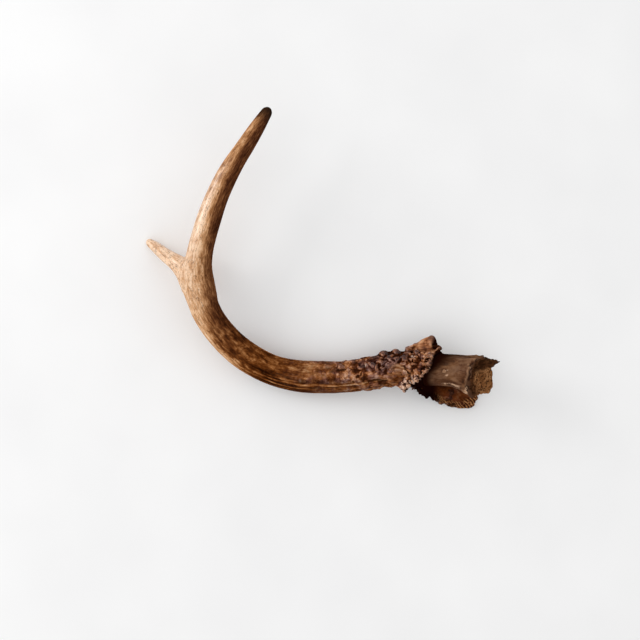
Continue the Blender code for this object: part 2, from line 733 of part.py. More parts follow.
def bone_rows():
    return np.concatenate([
        np.linspace(0, 1, CAP_ROWS),
        1 + np.linspace(0, 1, BONE_WALL_ROWS)[1:],
        2 + np.linspace(0, 1, BONE_FACE_ROWS)[1:],
    ])


def tine_rows():
    """Rows of the tine's sheet, closer together at its tip."""
    return 1 - (1 - np.linspace(0, 1, TINE_ROWS)) ** TINE_CROWDING


def thin_out(obj, triangles):
    """Keep about so many triangles, the most where the form needs them."""
    modifier = obj.modifiers.new("Fewer faces", "DECIMATE")
    now = sum(len(face.vertices) - 2 for face in obj.data.polygons)
    modifier.ratio = triangles / now
    modifier.use_collapse_triangulate = True


def boolean(obj, other, operation):
    modifier = obj.modifiers.new(operation.title(), "BOOLEAN")
    modifier.operation = operation
    modifier.solver = "EXACT"
    modifier.object = other


def block(name, size):
    mesh = bmesh.new()
    bmesh.ops.create_cube(mesh, size=size * MM)
    obj = bpy.data.objects.new(name, bpy.data.meshes.new(name))
    mesh.to_mesh(obj.data)
    mesh.free()
    return obj


def fork_cutter(name, side):
    """A block whose face stands square across the tine, half a gap from the fork's plane."""
    axis = Vector(FORK_CUT_AXIS).normalized()
    cutter = block(name, FORK_BLOCK)
    cutter.rotation_euler = axis.to_track_quat("Z", "Y").to_euler()
    middle = Vector(FORK_CUT) - Vector(ORIGIN) + axis * side * (FORK_BLOCK - PIECE_GAP) / 2
    cutter.location = middle * MM
    return cutter


def table_cutter():
    """A block with its top face at the table's height."""
    cutter = block("table", TABLE_BLOCK)
    cutter.location = (0, 0, -0.5 * TABLE_BLOCK * MM)
    return cutter


def finish(obj, colour, roughness):
    material = bpy.data.materials.new(obj.name)
    material.use_nodes = True
    shader = material.node_tree.nodes["Principled BSDF"]
    shader.inputs["Base Color"].default_value = (*colour, 1.0)
    shader.inputs["Roughness"].default_value = roughness
    shader.inputs["Metallic"].default_value = 0.0
    obj.data.materials.append(material)


def collection(name, objects, cutters=False):
    group = bpy.data.collections.new(name)
    bpy.context.scene.collection.children.link(group)
    for obj in objects:
        group.objects.link(obj)
        if cutters:
            obj.hide_render = True
            obj.display_type = "WIRE"


def clear_scene():
    for obj in list(bpy.data.objects):
        bpy.data.objects.remove(obj, do_unlink=True)


def main():
    clear_scene()
    beam = add_mesh("main_beam", AROUND, beam_rows(), beam_skin, beam_relief)
    tine = add_mesh("tine", TINE_AROUND, tine_rows(), tine_skin, tine_relief)
    tine_root = add_mesh("tine_root", TINE_AROUND, tine_rows(), tine_skin, tine_relief)
    bone = add_mesh("pedicle", BONE_AROUND, bone_rows(), bone_skin, bone_relief)
    before_fork = fork_cutter("fork_root_side", -1)
    after_fork = fork_cutter("fork_tip_side", 1)
    table = table_cutter()
    collection("deer_antler", [beam, tine, bone])
    collection("cutters", [tine_root, before_fork, after_fork, table], cutters=True)

    thin_out(beam, BEAM_TRIANGLES)
    thin_out(tine, TINE_TRIANGLES)
    thin_out(tine_root, TINE_TRIANGLES)
    thin_out(bone, BONE_TRIANGLES)
    boolean(tine_root, after_fork, "DIFFERENCE")
    boolean(beam, tine_root, "UNION")
    boolean(beam, table, "DIFFERENCE")
    boolean(tine, before_fork, "DIFFERENCE")
    boolean(tine, table, "DIFFERENCE")

    finish(beam, *BEAM_FINISH)
    finish(tine, *TINE_FINISH)
    finish(bone, *BONE_FINISH)


main()
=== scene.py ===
"""The looks of a deer antler with its burr and a broken piece of skull bone, on a pale table.

The antler's skin (beam, tine and burr in one) and the bone's skin are grown from flat sheets on the
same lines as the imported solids, and stand in for them. Points and sizes are millimetres until a
finished skin is scaled to metres.
"""

import math

import bmesh
import bpy
import numpy as np
from mathutils import Matrix, Vector, kdtree, noise


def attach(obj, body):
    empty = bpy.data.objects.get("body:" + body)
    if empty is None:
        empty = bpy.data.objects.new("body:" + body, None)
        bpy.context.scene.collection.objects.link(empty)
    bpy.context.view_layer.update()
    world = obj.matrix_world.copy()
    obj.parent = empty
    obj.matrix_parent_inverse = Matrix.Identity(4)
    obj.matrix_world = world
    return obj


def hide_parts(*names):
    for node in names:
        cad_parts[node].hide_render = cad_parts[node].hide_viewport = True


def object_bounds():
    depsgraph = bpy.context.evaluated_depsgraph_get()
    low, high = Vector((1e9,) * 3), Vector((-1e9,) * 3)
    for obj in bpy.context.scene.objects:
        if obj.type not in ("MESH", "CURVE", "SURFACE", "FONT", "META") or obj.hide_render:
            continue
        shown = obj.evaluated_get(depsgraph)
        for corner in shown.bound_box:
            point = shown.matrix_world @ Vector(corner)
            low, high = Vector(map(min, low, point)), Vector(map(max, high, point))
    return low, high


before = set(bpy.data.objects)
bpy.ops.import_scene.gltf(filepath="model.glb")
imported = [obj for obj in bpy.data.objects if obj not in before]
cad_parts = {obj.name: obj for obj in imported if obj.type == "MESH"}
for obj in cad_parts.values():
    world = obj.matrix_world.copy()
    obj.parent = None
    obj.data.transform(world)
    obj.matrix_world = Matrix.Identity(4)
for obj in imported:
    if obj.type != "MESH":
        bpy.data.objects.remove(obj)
CAD_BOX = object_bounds()

MM = 0.001
ORIGIN = (-1.5, -4.25, 0.0)  # the middle of the antler's box on the table, in the points below

# ---- the trunk: one line through the beam, the burr and the skull bone ----
# Each station: x, y and height of the centre, then half the width seen from above.
BEAM = (
    (-44.8, 127, 57.5, 4.4),
    (-53.5, 113.5, 58.0, 6.1),
    (-64.5, 96, 58.5, 7.5),
    (-76.5, 77.5, 57.5, 8.7),
    (-87, 58.5, 56, 9.7),
    (-95, 39, 53.5, 10.4),
    (-101.5, 19.5, 50.5, 10.8),
    (-106.5, -0.5, 47, 11.6),
    (-108, -19.5, 43, 12.4),
    (-105, -37.5, 38, 12.9),
    (-96.5, -57, 31.5, 12.8),
    (-82.5, -75, 25, 13.0),
    (-65, -89.5, 19.5, 13.2),
    (-42, -101, 15.3, 13.6),
    (-19.5, -106, 13.4, 14.0),
    (3, -107, 13.4, 14.2),
    (25, -106, 15.6, 14.2),
    (48, -102.5, 19.5, 14.4),
    (70, -99.5, 24.5, 14.8),
)
BONE = (
    (92, -99.5, 30, 14.6),
    (104, -99.5, 33.5, 14.0),
    (116.5, -100, 37.5, 14.0),
    (129.5, -102, 42.5, 16.1),
    (139.5, -104, 46, 18.3),
)
FLATNESS_AT = (0.0, 0.12, 0.3, 0.42, 0.6, 0.85, 1.0)  # along the trunk, from the tip
FLATNESS = (0.95, 0.9, 0.86, 0.84, 0.94, 0.98, 0.98)  # height of a section over its width
TIP_ROUNDING = 5.0

# ---- the tine ----
TINE = (
    (-106, -27, 41.5, 13.0),
    (-113.5, -18, 41, 11.6),
    (-124.5, -8, 35.5, 8.2),
    (-137, 0.5, 24, 6.2),
    (-148, 9, 10.5, 4.8),
    (-155, 14, 2.4, 3.4),
)
TINE_FLATNESS = (0.68, 0.98)  # height of a section over its width, at the root and at the tip
TINE_ROUNDING = 4.0
CROTCH_REACH = 10.0  # how far from the seam the fork's crotch is filled
CROTCH_ROUNDS = 80  # of smoothing
CROTCH_WELD = 0.15  # points by the seam that are nearer than this become one
FORK_REACH = 40.0  # from the fork's middle, how far the seam is looked for

# ---- the burr: its rim, from the top round the side away from the table and under the bone ----
# Each point: x, y, z, how far back along the trunk the burr starts to flare towards it, and how
# straight that flare is (0 hollow, 1 straight).
BURR_RIM = (
    (102, -78, 34, 18, 0.5),
    (98.5, -83, 41, 13, 0.3),
    (95, -89, 47, 11, 0.3),
    (91.5, -98.5, 49.5, 11, 0.3),
    (84.5, -107, 46.5, 11, 0.3),
    (75.5, -113.8, 41, 11, 0.3),
    (72, -117, 34, 12, 0.3),
    (74, -116.8, 28.5, 13, 0.3),
    (80, -114.8, 21.5, 14, 0.3),
    (85, -119.3, 18, 17, 0.4),
    (93, -124, 14, 20, 0.5),
    (103, -127.8, 8, 24, 0.6),
    (112.5, -132.5, 3.5, 28, 0.7),
    (125.5, -135.5, 1.0, 34, 0.7),
    (134, -133, 0.3, 36, 0.7),
    (138.5, -124, 0.3, 35, 0.7),
    (137.5, -112.5, 0.3, 33, 0.7),
    (132, -102, 0.6, 29, 0.6),
    (122, -94, 5.5, 23, 0.5),
    (112, -91, 12.5, 18, 0.4),
    (103, -84, 22, 17, 0.5),
    (98.5, -70, 29, 24, 1.35),
    (96.4, -78, 33, 21, 1.0),
)
RIM_STEP = math.radians(2)  # the rim goes on round the trunk by at least this at each point
JOINT_POINT = (97, -101, 32.5)  # the flat joint between the antler and the skull bone
JOINT_AXIS = (0.76, -0.36, 0.54)
CUP_CLEARANCE = 0.7  # how much wider the burr's cup starts than the bone in it
CUP_HOLLOW = 0.5  # how steeply the cup falls in from its rim
RIM_THICKNESS = 3.4
PIECE_GAP = 0.3  # between two pieces that meet

# ---- the broken end of the skull bone, round from the spur's side ----
BREAK_RIM = (
    (138, -87, 41.5),
    (153, -91.5, 47),
    (137.5, -89.5, 54),
    (131, -94, 58.5),
    (129, -102.5, 60.5),
    (127, -111, 57.5),
    (129, -118.5, 52),
    (132.5, -123, 44),
    (140.5, -120.5, 36),
    (146.5, -120, 31.5),
    (150, -115, 29),
    (150.5, -106, 28),
    (149.5, -98.5, 29.5),
    (145.5, -91, 35),
)
BREAK_CENTRE = (141, -105, 44)
BREAK_HOLLOW = (139, -97, 52)  # the pit under the spur
BREAK_HOLLOW_DEPTH = 5.0
BREAK_HOLLOW_REACH = 8.0

# ---- relief ----
SEED = 7
RIM_LOBES = 38
LOBE_DRIFT = ((3, 0.35, 0.8), (7, 0.25, 2.1))  # waves round the rim: how many, size and start
LOBE_SIZES = (0.72, 0.28)  # the middle size of a lobe, and how far it wanders
LOBE_SWINGS = (5, 11, 0.4)  # how often in each of two waves, and the start of the first
LOBE_DEPTH = 2.6
FAN_LOBE_DEPTH = 1.4  # on the fan-shaped lobe, which lies below this height:
FAN_TOP = 24.0
SCALLOPS = 92  # the small teeth between the lobes
SCALLOP_DRIFT = ((5, 0.6, 1.9), (13, 0.4, 0.7))
SCALLOP_SIZES = (0.65, 0.35)
SCALLOP_SWINGS = (17, 29, 1.0)
SCALLOP_DEPTH = 1.5
SPIKE = (95, -76, 31)  # the middle of the burr's one long, smooth lobe
SPIKE_CALM = (9.0, 14.0)  # nearer than the first of these it has no teeth or beads
SPIKE_TIP = (98.5, -70, 29)
SPIKE_TIP_REACH = (3.5, 8.5)  # nearer than the first of these the rim has all of its extra thickness
SPIKE_THICKENING = 4.6
SPIKE_POCKET = (99.0, -79.0)  # seen from above, where the long lobe's foot gets painted shade
SPIKE_LEAN = math.radians(50)  # how far over its front has come where the flare meets it
TEETH = (79, -114, 40)  # round here the rim's teeth are lumpy, with painted highlights on their worn tops
RIB_HEIGHT = 2.0
FAN_RIB_HEIGHT = 1.1
RIB_SPACING = 0.0026  # of the fine ribs on the rim, in metres
PEARL_REGION = 120.0  # how far from the burr the beam has pearls
PEARL_COUNT = 170
PEARL_CROWDING = 1.8  # how strongly they crowd towards the burr
PEARL_SIDE = (0.6, 0.75)  # the turn from the inner side where most of them are, and its spread
STRAY_PEARLS = 0.25  # the share that may be on any side, nearer the burr
PEARLS_FROM = 4.0  # how far before the joint they start
PEARL_RADIUS = (1.2, 1.7)  # the least, and the most that is added to it
PEARL_HEIGHT = (0.15, 0.7)  # over the radius, likewise
BEAD_COUNT = 22  # the beads on the burr itself
BEAD_PLACE = (1.0, 1.3)  # the least t of a bead, and the most that is added to it
BEAD_RADIUS = (1.8, 3.0)
BEAD_HEIGHT = (0.30, 0.40)
LEAST_BEAD = 0.3  # how far off the spike's calm a bead has to be
KNOB_WRAP = (math.radians(40), math.radians(70))  # how far round its own ball a knob's skin goes
KNOB_ROUNDNESS = 0.8  # how much of the way a knob's skin goes out from its foot
KNOBS = (  # x and y seen from above, radius and height of a single large knob
    (54.5, -83.0, 4.8, 4.2),
    (64.8, -83.0, 4.4, 3.6),
    (45.0, -94.0, 2.6, 1.6),
    (39.0, -94.4, 2.0, 1.2),
    (33.5, -96.5, 2.2, 1.0),
    (56.8, -96.2, 3.6, 2.2),
    (59.0, -88.5, 2.6, 1.6),
    (51.5, -89.0, 2.2, 1.0),
    (52.4, -100.0, 1.8, 1.4),
    (48.0, -107.0, 2.2, 0.9),
    (17.3, -96.0, 3.2, 2.4),
    (22.5, -98.5, 2.2, 1.2),
    (71.9, -88.6, 4.2, 2.4),
    (75.6, -95.6, 3.4, 2.4),
    (71.9, -101.4, 2.6, 2.2),
    (78.5, -80.5, 2.2, 1.8),
    (84.5, -84.5, 4.0, 2.8),
    (86.5, -93.5, 4.2, 1.8),
    (81.5, -100.5, 3.4, 1.8),
    (90.0, -87.0, 3.0, 1.6),
)
DENTS = (  # x and y seen from above, radius and depth of a dark hollow
    (34.0, -102.5, 2.0, 1.2),
    (31.8, -106.7, 2.8, 1.8),
    (29.0, -111.5, 2.2, 1.4),
    (50.0, -95.5, 3.2, 2.0),
    (54.0, -103.4, 2.8, 1.3),
    (63.0, -90.5, 2.6, 1.8),
    (76.5, -106.0, 2.4, 1.8),
    (79.5, -90.5, 2.0, 1.6),
    (90.5, -92.0, 1.8, 1.6),
    (85.0, -103.0, 2.0, 1.6),
    (100.5, -80.5, 2.4, 2.0),
    (54.5, -114.5, 9.0, 1.6),
)
SCUFFS = (  # pale streaks seen from above, partly worn and partly painted highlights: from x, y to x, y, and half the width
    (78.2, -104.9, 81.0, -111.9, 0.8),
    (76.2, -108.8, 78.0, -111.9, 0.7),
    (72.3, -107.5, 74.1, -111.9, 0.6),
    (69.9, -112.6, 71.2, -116.6, 0.7),
    (78.6, -87.6, 80.0, -88.4, 0.8),
    (38.2, -96.6, 39.6, -95.2, 0.6),
    (90.4, -106.2, 91.5, -104.0, 0.5),
    (93.2, -99.5, 94.0, -97.5, 0.5),
)
# the same on the bone: pale worn streaks, partly painted highlights on its ridges
BONE_SCUFFS = (
    (107.4, -100.3, 109.6, -99.3, 0.6),
    (107.6, -104.3, 109.4, -103.2, 0.8),
    (125.2, -113.8, 124.8, -118.2, 1.2),
    (125.4, -117.0, 126.0, -121.5, 1.0),
    (104.5, -111.3, 111.5, -111.2, 0.5),
    (112.5, -111.5, 119.5, -114.3, 0.8),
    (127.5, -95.5, 129.0, -99.0, 0.6),
)
RIPPLE_CENTRE = (64.9, -108.4)  # pale curved ridges just before the burr, seen from above
RIPPLE_RADII = (5.6, 9.0, 12.4)
RIPPLE_SECTOR = (0.65, 1.1, 1.6, 2.1)  # the turns from +X where they start, are whole and end
RIPPLE_PLACE = (3.2, 4.8, 13.4, 15.4)  # and the same for how far they are from their centre
RIPPLE_CALM = (10.0, 5.0)  # nearer than the second of these nothing else grows
RIPPLE_DEPTH = 12.0  # how far under the beam's line they may reach
BANDS = (  # how far to the outer side (1 is its edge), width, start, end and change of tone
    # the pale band at the outer edge is partly a painted rim highlight
    (0.98, 0.45, 205, 258, 0.22),
    (0.26, 0.20, 294, 352, -0.26),
    (0.02, 0.26, 268, 290, -0.22),
    (0.74, 0.46, 228, 262, 0.16),
    (0.53, 0.13, 268, 356, 0.24),
    (0.64, 0.10, 270, 350, -0.12),
    (0.78, 0.12, 285, 350, 0.10),
    (0.30, 0.26, 244, 268, -0.16),
    (-0.10, 0.55, 200, 256, 0.13),
    (0.42, 0.25, 190, 216, -0.10),
    (0.42, 0.40, 88, 116, 0.12),
    (0.00, 0.45, 50, 90, 0.14),
    (0.45, 0.60, 8, 26, 0.10),
    (-0.55, 0.50, 296, 352, 0.10),
)
BONE_KNOBS = (  # x and y seen from above, radius and height
    (109.5, -100.5, 2.6, 1.0),
    (126.5, -117.5, 4.5, 1.0),
    (136.5, -84.0, 2.2, 1.4),
    (118.5, -114.0, 5.0, 0.6),
)

# ---- mesh density ----
AROUND = 120
SMOOTH_STEP = 1.2  # between rows on the plain beam
PEARL_STEP = 0.66  # between rows where there are pearls
FLARE_ROWS = 9  # before two subdivisions
EDGE_ROWS = 3
CUP_ROWS = 8
CAP_ROWS = 3
TINE_AROUND = 72
TINE_ROWS = 84
BONE_AROUND = 288
BONE_WALL_ROWS = 96
BONE_FACE_ROWS = 40
TIP_ROWS = (0.05, 0.2, 0.5)  # in millimetres from the tip
TINE_CROWDING = 1.15  # how much closer the tine's rows are towards its tip
FINER_FROM = (0.975, 1.0)  # the t beyond which the antler's sheet is divided once more, twice
WELD = 0.0005  # points of a sheet that are nearer than this become one
SAMPLED_ROWS = ((0.6, 1.0, 150), (1.0, 3.0, 60))  # of the smooth antler: from t, to t, how many
SAMPLES_AROUND = 500

# ---- tones, from 0 (dark) to 1 (bleached), and where they are ----
# Along the beam from the tip: how far to its outer side the bleaching starts, and the palest tone.
# The dark inner side and pale outer side are partly real bleaching, partly painted shade and painted
# light.
PALE_EDGE = ((0, 0.25), (60, 0.25), (100, -0.05), (185, -0.12), (205, 0.45), (230, 0.85), (260, 1.1))
PALE_MOST = ((0, 0.3), (20, 0.62), (60, 0.72), (100, 0.86), (190, 0.82), (230, 0.64), (260, 0.58))
INNER_TONE = 0.24
TINE_TONE = 0.92
LOWER_CHANGE = (75, 40)  # before the joint, where the lower beam's outer side changes its tone
LOWER_OUTER_TONES = (0.16, 0.40)
LOWER_INNER_TONE = 0.42
HOLLOW_ROUNDS = (8, 60)  # of smoothing that hollows and wider hollows are found with
SMOOTHING = 0.6  # how far each point goes to the middle of its neighbours in a round
BURR_SHADE_REACH = (11.0, 24.0)  # of the painted shadow and stain on the bone by the burr, on its outer and its inner side
UNDER_SPUR = (-101.5, -97.5)  # in y, where the crust under the bone's spur starts and is whole

# ---- how the lines above are read ----
BLEND_BACK = 55.0  # how far before the burr the beam's sections start to follow the rim's points
BURR_REACH = 110.0  # how far back from the trunk's end the rim stands round it
RIM_EVENNESS = 0.45  # how evenly round the trunk, and not along its own length, the rim is divided
LEAST_FLARE = 7.0  # from where the burr starts to flare to the joint
CUP_LANDING = 0.5  # how straight out of the bone the cup's inside meets it
RIM_TILT = 0.35  # how far the rim's faces turn from the joint's way to the trunk's
FLARE_LEAVES = 0.8  # how strongly the flare starts along the trunk
FLARE_ARRIVES = 0.9  # and how strongly it ends outwards
LOBE_MIDDLE = 0.6  # the height of the lobes that leaves the rim where its points are
BREAK_EVENNESS = 0.6  # as for the rim, round the broken end
BREAK_BLEND = (0.15, 1.0)  # along the bone's wall, where it turns into the broken rim
HOLLOW_BLEND = 0.25  # and across the broken face, where its pit starts
TINE_CAP = 0.6  # how much of the rounding at the tine's tip is past its line
TINE_ROOT_OPENS = (-0.001, 0.02)  # along the tine, where its closed root has all of its width
TINE_FLATTENS = (0.1, 0.7)  # where its flatness goes from that of the root to that of the tip

# ---- bumps ----
# A rough one: its height, its width (or widths across, up and along the limb) and its seed.
# A billowing one has its level too, which is taken as no height.
RIDGES = (0.55, (3.6, 3.6, 70.0), 1)
FINE_RIDGES = (0.33, (1.8, 1.8, 34.0), 2)
SWELL = (0.45, (11.0, 11.0, 26.0), 3)
WAVES = (2.6, (7.0, 7.0, 9.0), 28)
LUMPS = (1.5, 9.5, 4, 0.6)
CREASES = (0.75, 4.6, 5, 0.6)
GRAVEL = (0.6, 2.4, 13)
GRIT = (0.3, 1.2, 16)
PATCHES = (1.0, 13.0, 19)
CRUMBLE = (0.9, 2.6, 15)
FURROWS = (0.6, (2.4, 2.4, 9.0), 14, 0.6)
RIB_GRAIN = (0.7, 3.4, 27)
RIB_SWELL = (0.9, 6.5, 31)
TORN_LUMPS = (2.4, 4.2, 34, 0.5)
TEETH_LUMPS = (1.4, 2.6, 35, 0.5)
TINE_SWELL = (0.25, (4.0, 4.0, 20.0), 6)
TINE_GRAIN = (0.12, (1.6, 1.6, 8.0), 7)
WALL_SWELL = (0.35, 9.0, 8)
WALL_GRAIN = (0.12, (2.0, 2.0, 12.0), 9)
FACE_LUMPS = (0.9, 5.0, 10)
FACE_GRAVEL = (0.7, 2.2, 11)
FACE_GRIT = (0.35, 1.1, 12)
CRUST_LUMPS = (2.4, 6.0, 17, 0.45)
CRUST_GRAIN = (0.8, 1.7, 18)
KNOB_WARP = (2.2, 4.6, 20)  # how knobs are pulled out of round
RIPPLE_WARP = (0.7, 4.0, 25)
RIPPLE_TURN = (0.3, 5.0, 33)
SCUFF_WARP = (0.6, 1.6, 22)
SCUFF_GRAIN = (1.0, 1.1, 24)
BAND_WAVER = (0.05, (6.0, 6.0, 22.0), 21)
SPIKE_TOP_WAVER = (2.0, 3.0, 29)
POCKET_WAVER = (1.0, 2.0, 30)
SPUR_WAVER = (2.5, 4.0, 32)

# ---- where relief and looks begin and end ----
# Two numbers: none at the first and all at the second. Four: none, all, still all, none.
# From the joint, in millimetres:
NEAR_BURR = (140, 30)
CRAGGY = (80, 30)
LUMPY_ROUND = (48, 20)  # lumpy all the way round
WAVY = (105, 50)
KNOBBY = (150, 60)
# From the line's inner side (-1) to its outer side (1):
LUMPY_SIDE = (0.6, -0.1)
LESS_KNOBBY = (0.0, 0.5)
MOTTLED_SIDE = (0.95, 0.6)
RIDGED_SIDE = (-0.05, 0.3)
# UPPER_INNER: the side that gets painted shade near the burr
UPPER_INNER = (0.1, -0.35)
POLISHED_SIDE = (0.05, 0.35)
LOWER_SIDE = (-0.1, 0.35)
# Along the trunk from the tip, in millimetres:
MOTTLED = (190, 225)
RIDGED = (240, 290)
POLISHED = (45, 90, 140, 190)
LOWER_BEAM = (215, 265)
FORK_SPAN = (115, 215)  # outside it nothing belongs to the tine
# On the sheets, in t:
RELIEF_END = (4.0, 3.75)
ON_FLARE = (1.0, 1.5)
LOWER_LUMPS = (1.3, 1.9)
CRAGS_END = (3.3, 3.05)
KNOBS_END = (3.25, 3.1)
RIBS = (1.2, 1.9, 3.2, 3.42)
TORN = (1.4, 2.0, 3.1, 3.35)
BURR_LOOK = (0.98, 1.1)
CUP_LOOK = (2.4, 3.0)
# UNDER_BONE and UNDER_BONE_X: where the painted shade in the cup under the bone lies
UNDER_BONE = (3.3, 3.9)
RIBBED = (1.7, 2.0)
LIP_END = (3.20, 3.04)
WALL = (1.1, 1.3, 1.95, 2.05)
FACE = (2.0, 2.15)
CRUST = (1.86, 1.99, 2.15, 2.5)
CRUST_LOOK = (1.90, 1.98, 2.15, 2.5)
BROKEN_LOOK = (1.98, 2.03)
# Seen from above, along x, and in height:
TORN_X = (76, 82, 100, 112)
TORN_Z = (30, 22)
# SHADED_X and SHADED_Z: where the painted shade under the fan's left end lies
SHADED_X = (78, 84, 98, 110)
SHADED_Z = (28, 20)
UNDER_BONE_X = (112, 98)
FAN_LOOK_X = (96, 104)
FAN_LOOK_Z = (26, 18)
CRUST_Z = (40, 50)
CRUST_LOOK_Z = (36, 46)
# From a place of its own, in millimetres:
BY_TEETH = (15, 8)
SPIKE_TOP_SIZE = (7.0, 4.0)
POCKET_SIZE = (3.4, 1.8)
FAN_RIBS = (12.0, 7.0)  # from the rim
ON_TINE = (-1.0, 9.0)  # from the beam's own skin
OFF_FORK = (24, 34)

FULL_TURN = 2.0 * math.pi
JOINT_WAY = np.array(JOINT_AXIS) / np.linalg.norm(JOINT_AXIS)
FORK = TINE[1][:3]
TINY = 1e-6


# ---- curves ----

def hermite_weights(f):
    """What a cubic curve takes at f from its start, its slope there, its end and its slope there."""
    return (1 + 2 * f) * (1 - f) ** 2, f * (1 - f) ** 2, f**2 * (3 - 2 * f), f**2 * (f - 1)


def hermite(p0, m0, p1, m1, f):
    start, leave, end, arrive = hermite_weights(f[:, None])
    return start * p0 + leave * m0 + end * p1 + arrive * m1


def smooth_curve(at, values, x, period=None):
    """Cubic curve through a few given knots, read at x; closed if a period is given."""
    at = np.asarray(at, float)
    values = np.asarray(values, float)
    if period:
        at = np.concatenate([at[-2:] - period, at, at[:3] + period])
        values = np.concatenate([values[-2:], values, values[:3]])
        x = at[2] + np.mod(x - at[2], period)
    slope = np.gradient(values, at, axis=0)
    i = np.clip(np.searchsorted(at, x, side="right") - 1, 0, len(at) - 2)
    step = at[i + 1] - at[i]
    f = (x - at[i]) / step
    if values.ndim > 1:
        f, step = f[:, None], step[:, None]
    start, leave, end, arrive = hermite_weights(f)
    return (start * values[i] + leave * step * slope[i]
            + end * values[i + 1] + arrive * step * slope[i + 1])


def chord_lengths(points):
    """Length along a row of points, from zero at the first."""
    steps = np.linalg.norm(np.diff(points, axis=0), axis=1)
    return np.concatenate([[0.0], np.cumsum(steps)])


def distance(points, place):
    return np.linalg.norm(points - np.array(place), axis=1)


def unit(vectors):
    return vectors / np.linalg.norm(vectors, axis=-1, keepdims=True)


def smoothstep(low, high, x):
    f = np.clip((x - low) / (high - low), 0.0, 1.0)
    return f * f * (3 - 2 * f)


def between(start, full, fading, end, x):
    """Nothing before the start, all from full to fading, and nothing past the end."""
    return smoothstep(start, full, x) * smoothstep(end, fading, x)


def mix(a, b, factor):
    return a + (b - a) * factor


def search_tree(points):
    tree = kdtree.KDTree(len(points))
    for index, point in enumerate(points.tolist()):
        tree.insert(point, index)
    tree.balance()
    return tree


class Limb:
    """A bent, tapering round limb along a smooth line through stations of centre and half width."""

    def __init__(self, stations):
        self.stations = np.array(stations, float)
        self.at = chord_lengths(self.stations[:, :3])
        self.length = self.at[-1]

    def centre(self, s):
        return smooth_curve(self.at, self.stations[:, :3], s)

    def half_width(self, s):
        return smooth_curve(self.at, self.stations[:, 3], s)

    def frame(self, s):
        """Unit vectors along the limb, across it and towards the table."""
        along = unit(self.centre(s + 0.5) - self.centre(s - 0.5))
        across = unit(np.cross(along, np.array([0.0, 0.0, 1.0])))
        return along, across, np.cross(along, across)

    def direction(self, s, angle):
        """The way out of the limb at an angle from its inner side, a quarter turn being up."""
        along, across, down = self.frame(s)
        return -np.cos(angle)[:, None] * across - np.sin(angle)[:, None] * down

    def unbend(self, points):
        """Each point as if the limb were straight: to its inner side, up, and along it."""
        stations = np.linspace(0.0, self.length, int(self.length * 4))
        tree = search_tree(self.centre(stations))
        s = stations[[tree.find(point)[1] for point in points.tolist()]]
        along, across, down = self.frame(s)
        off = points - self.centre(s)
        s = s + (off * along).sum(axis=1)
        return np.stack([-(off * across).sum(axis=1), -(off * down).sum(axis=1), s], axis=1)


class Trunk(Limb):
    """The beam, which goes on through the burr as the skull bone, from the tip."""

    def flatness(self, s):
        return np.interp(s / self.length, FLATNESS_AT, FLATNESS)

    def surface(self, s, angle, wider=0.0):
        near_tip = np.clip(1 - s / TIP_ROUNDING, 0.0, 1.0)
        radius = self.half_width(s) * np.sqrt(1 - near_tip**2) + wider
        along, across, down = self.frame(s)
        inner = -np.cos(angle) * radius
        up = -np.sin(angle) * radius * self.flatness(s)
        return self.centre(s) + inner[:, None] * across + up[:, None] * down


TRUNK = Trunk(BEAM + BONE)
TINE_LIMB = Limb(TINE)


def outer_share(unbent):
    """How far to the outer side of the beam's line each unbent point lies, from -1 to 1."""
    return -unbent[:, 0] / (np.hypot(unbent[:, 0], unbent[:, 1]) + TINY)


def tine_flatness(t):
    return mix(*TINE_FLATNESS, smoothstep(*TINE_FLATTENS, t))


# ---- the burr ----

class Burr:
    """The rim as a closed curve of q, from 0 to 1, and the angles and roots that go with it."""

    def __init__(self):
        points = np.array(BURR_RIM, float)
        self.rim = points[:, :3]
        self.back, self.straight = points[:, 3:].T
        chords = chord_lengths(np.vstack([self.rim, self.rim[:1]]))
        self.trunk_at = self.nearest_on_trunk(self.rim)
        along, across, down = TRUNK.frame(self.trunk_at)
        out = self.rim - TRUNK.centre(self.trunk_at)
        angles = np.unwrap(np.arctan2(-(out * down).sum(axis=1), -(out * across).sum(axis=1)))
        still_to_come = np.arange(len(self.rim), 0, -1)
        self.angles = np.minimum(angles, angles[0] + FULL_TURN - RIM_STEP * still_to_come)
        even = (self.angles - self.angles[0]) / FULL_TURN
        self.q = RIM_EVENNESS * even + (1 - RIM_EVENNESS) * chords[:-1] / chords[-1]

    @staticmethod
    def nearest_on_trunk(points):
        """Where along the trunk each point stands, square to the bone's axis."""
        s = np.linspace(TRUNK.length - BURR_REACH, TRUNK.length, 400)
        line = TRUNK.centre(s)
        gap = np.linalg.norm(points[:, None, :] - line[None, :, :], axis=2)
        return s[gap.argmin(axis=1)]

    def read(self, values, q):
        """The values at the rim's points, read at q."""
        return smooth_curve(self.q, values, q, period=1.0)

    def point(self, q):
        return self.read(self.rim, q)

    def even_angle(self, q):
        return self.angles[0] + FULL_TURN * q

    def angle(self, q):
        return self.even_angle(q) + self.read(self.angles - self.angles[0] - FULL_TURN * self.q, q)

    def trunk_position(self, q):
        return self.read(self.trunk_at, q)

    def length_along(self, q):
        """How far along the rim q is, in millimetres."""
        fine = np.linspace(0.0, 1.0, 2000)
        return np.interp(q, fine, chord_lengths(self.point(fine)))


BURR = Burr()


def angle_at(q, s, root_at):
    """Sections are evenly divided on the beam, and follow the rim's own points near the burr."""
    return mix(BURR.even_angle(q), BURR.angle(q), smoothstep(root_at - BLEND_BACK, root_at, s))


def joint_station():
    """Where the trunk's line passes through the flat joint."""
    s = np.linspace(TRUNK.length - 80, TRUNK.length, 2000)
    side = (TRUNK.centre(s) - np.array(JOINT_POINT)) @ np.array(JOINT_AXIS)
    return s[np.abs(side).argmin()]


JOINT_AT = joint_station()


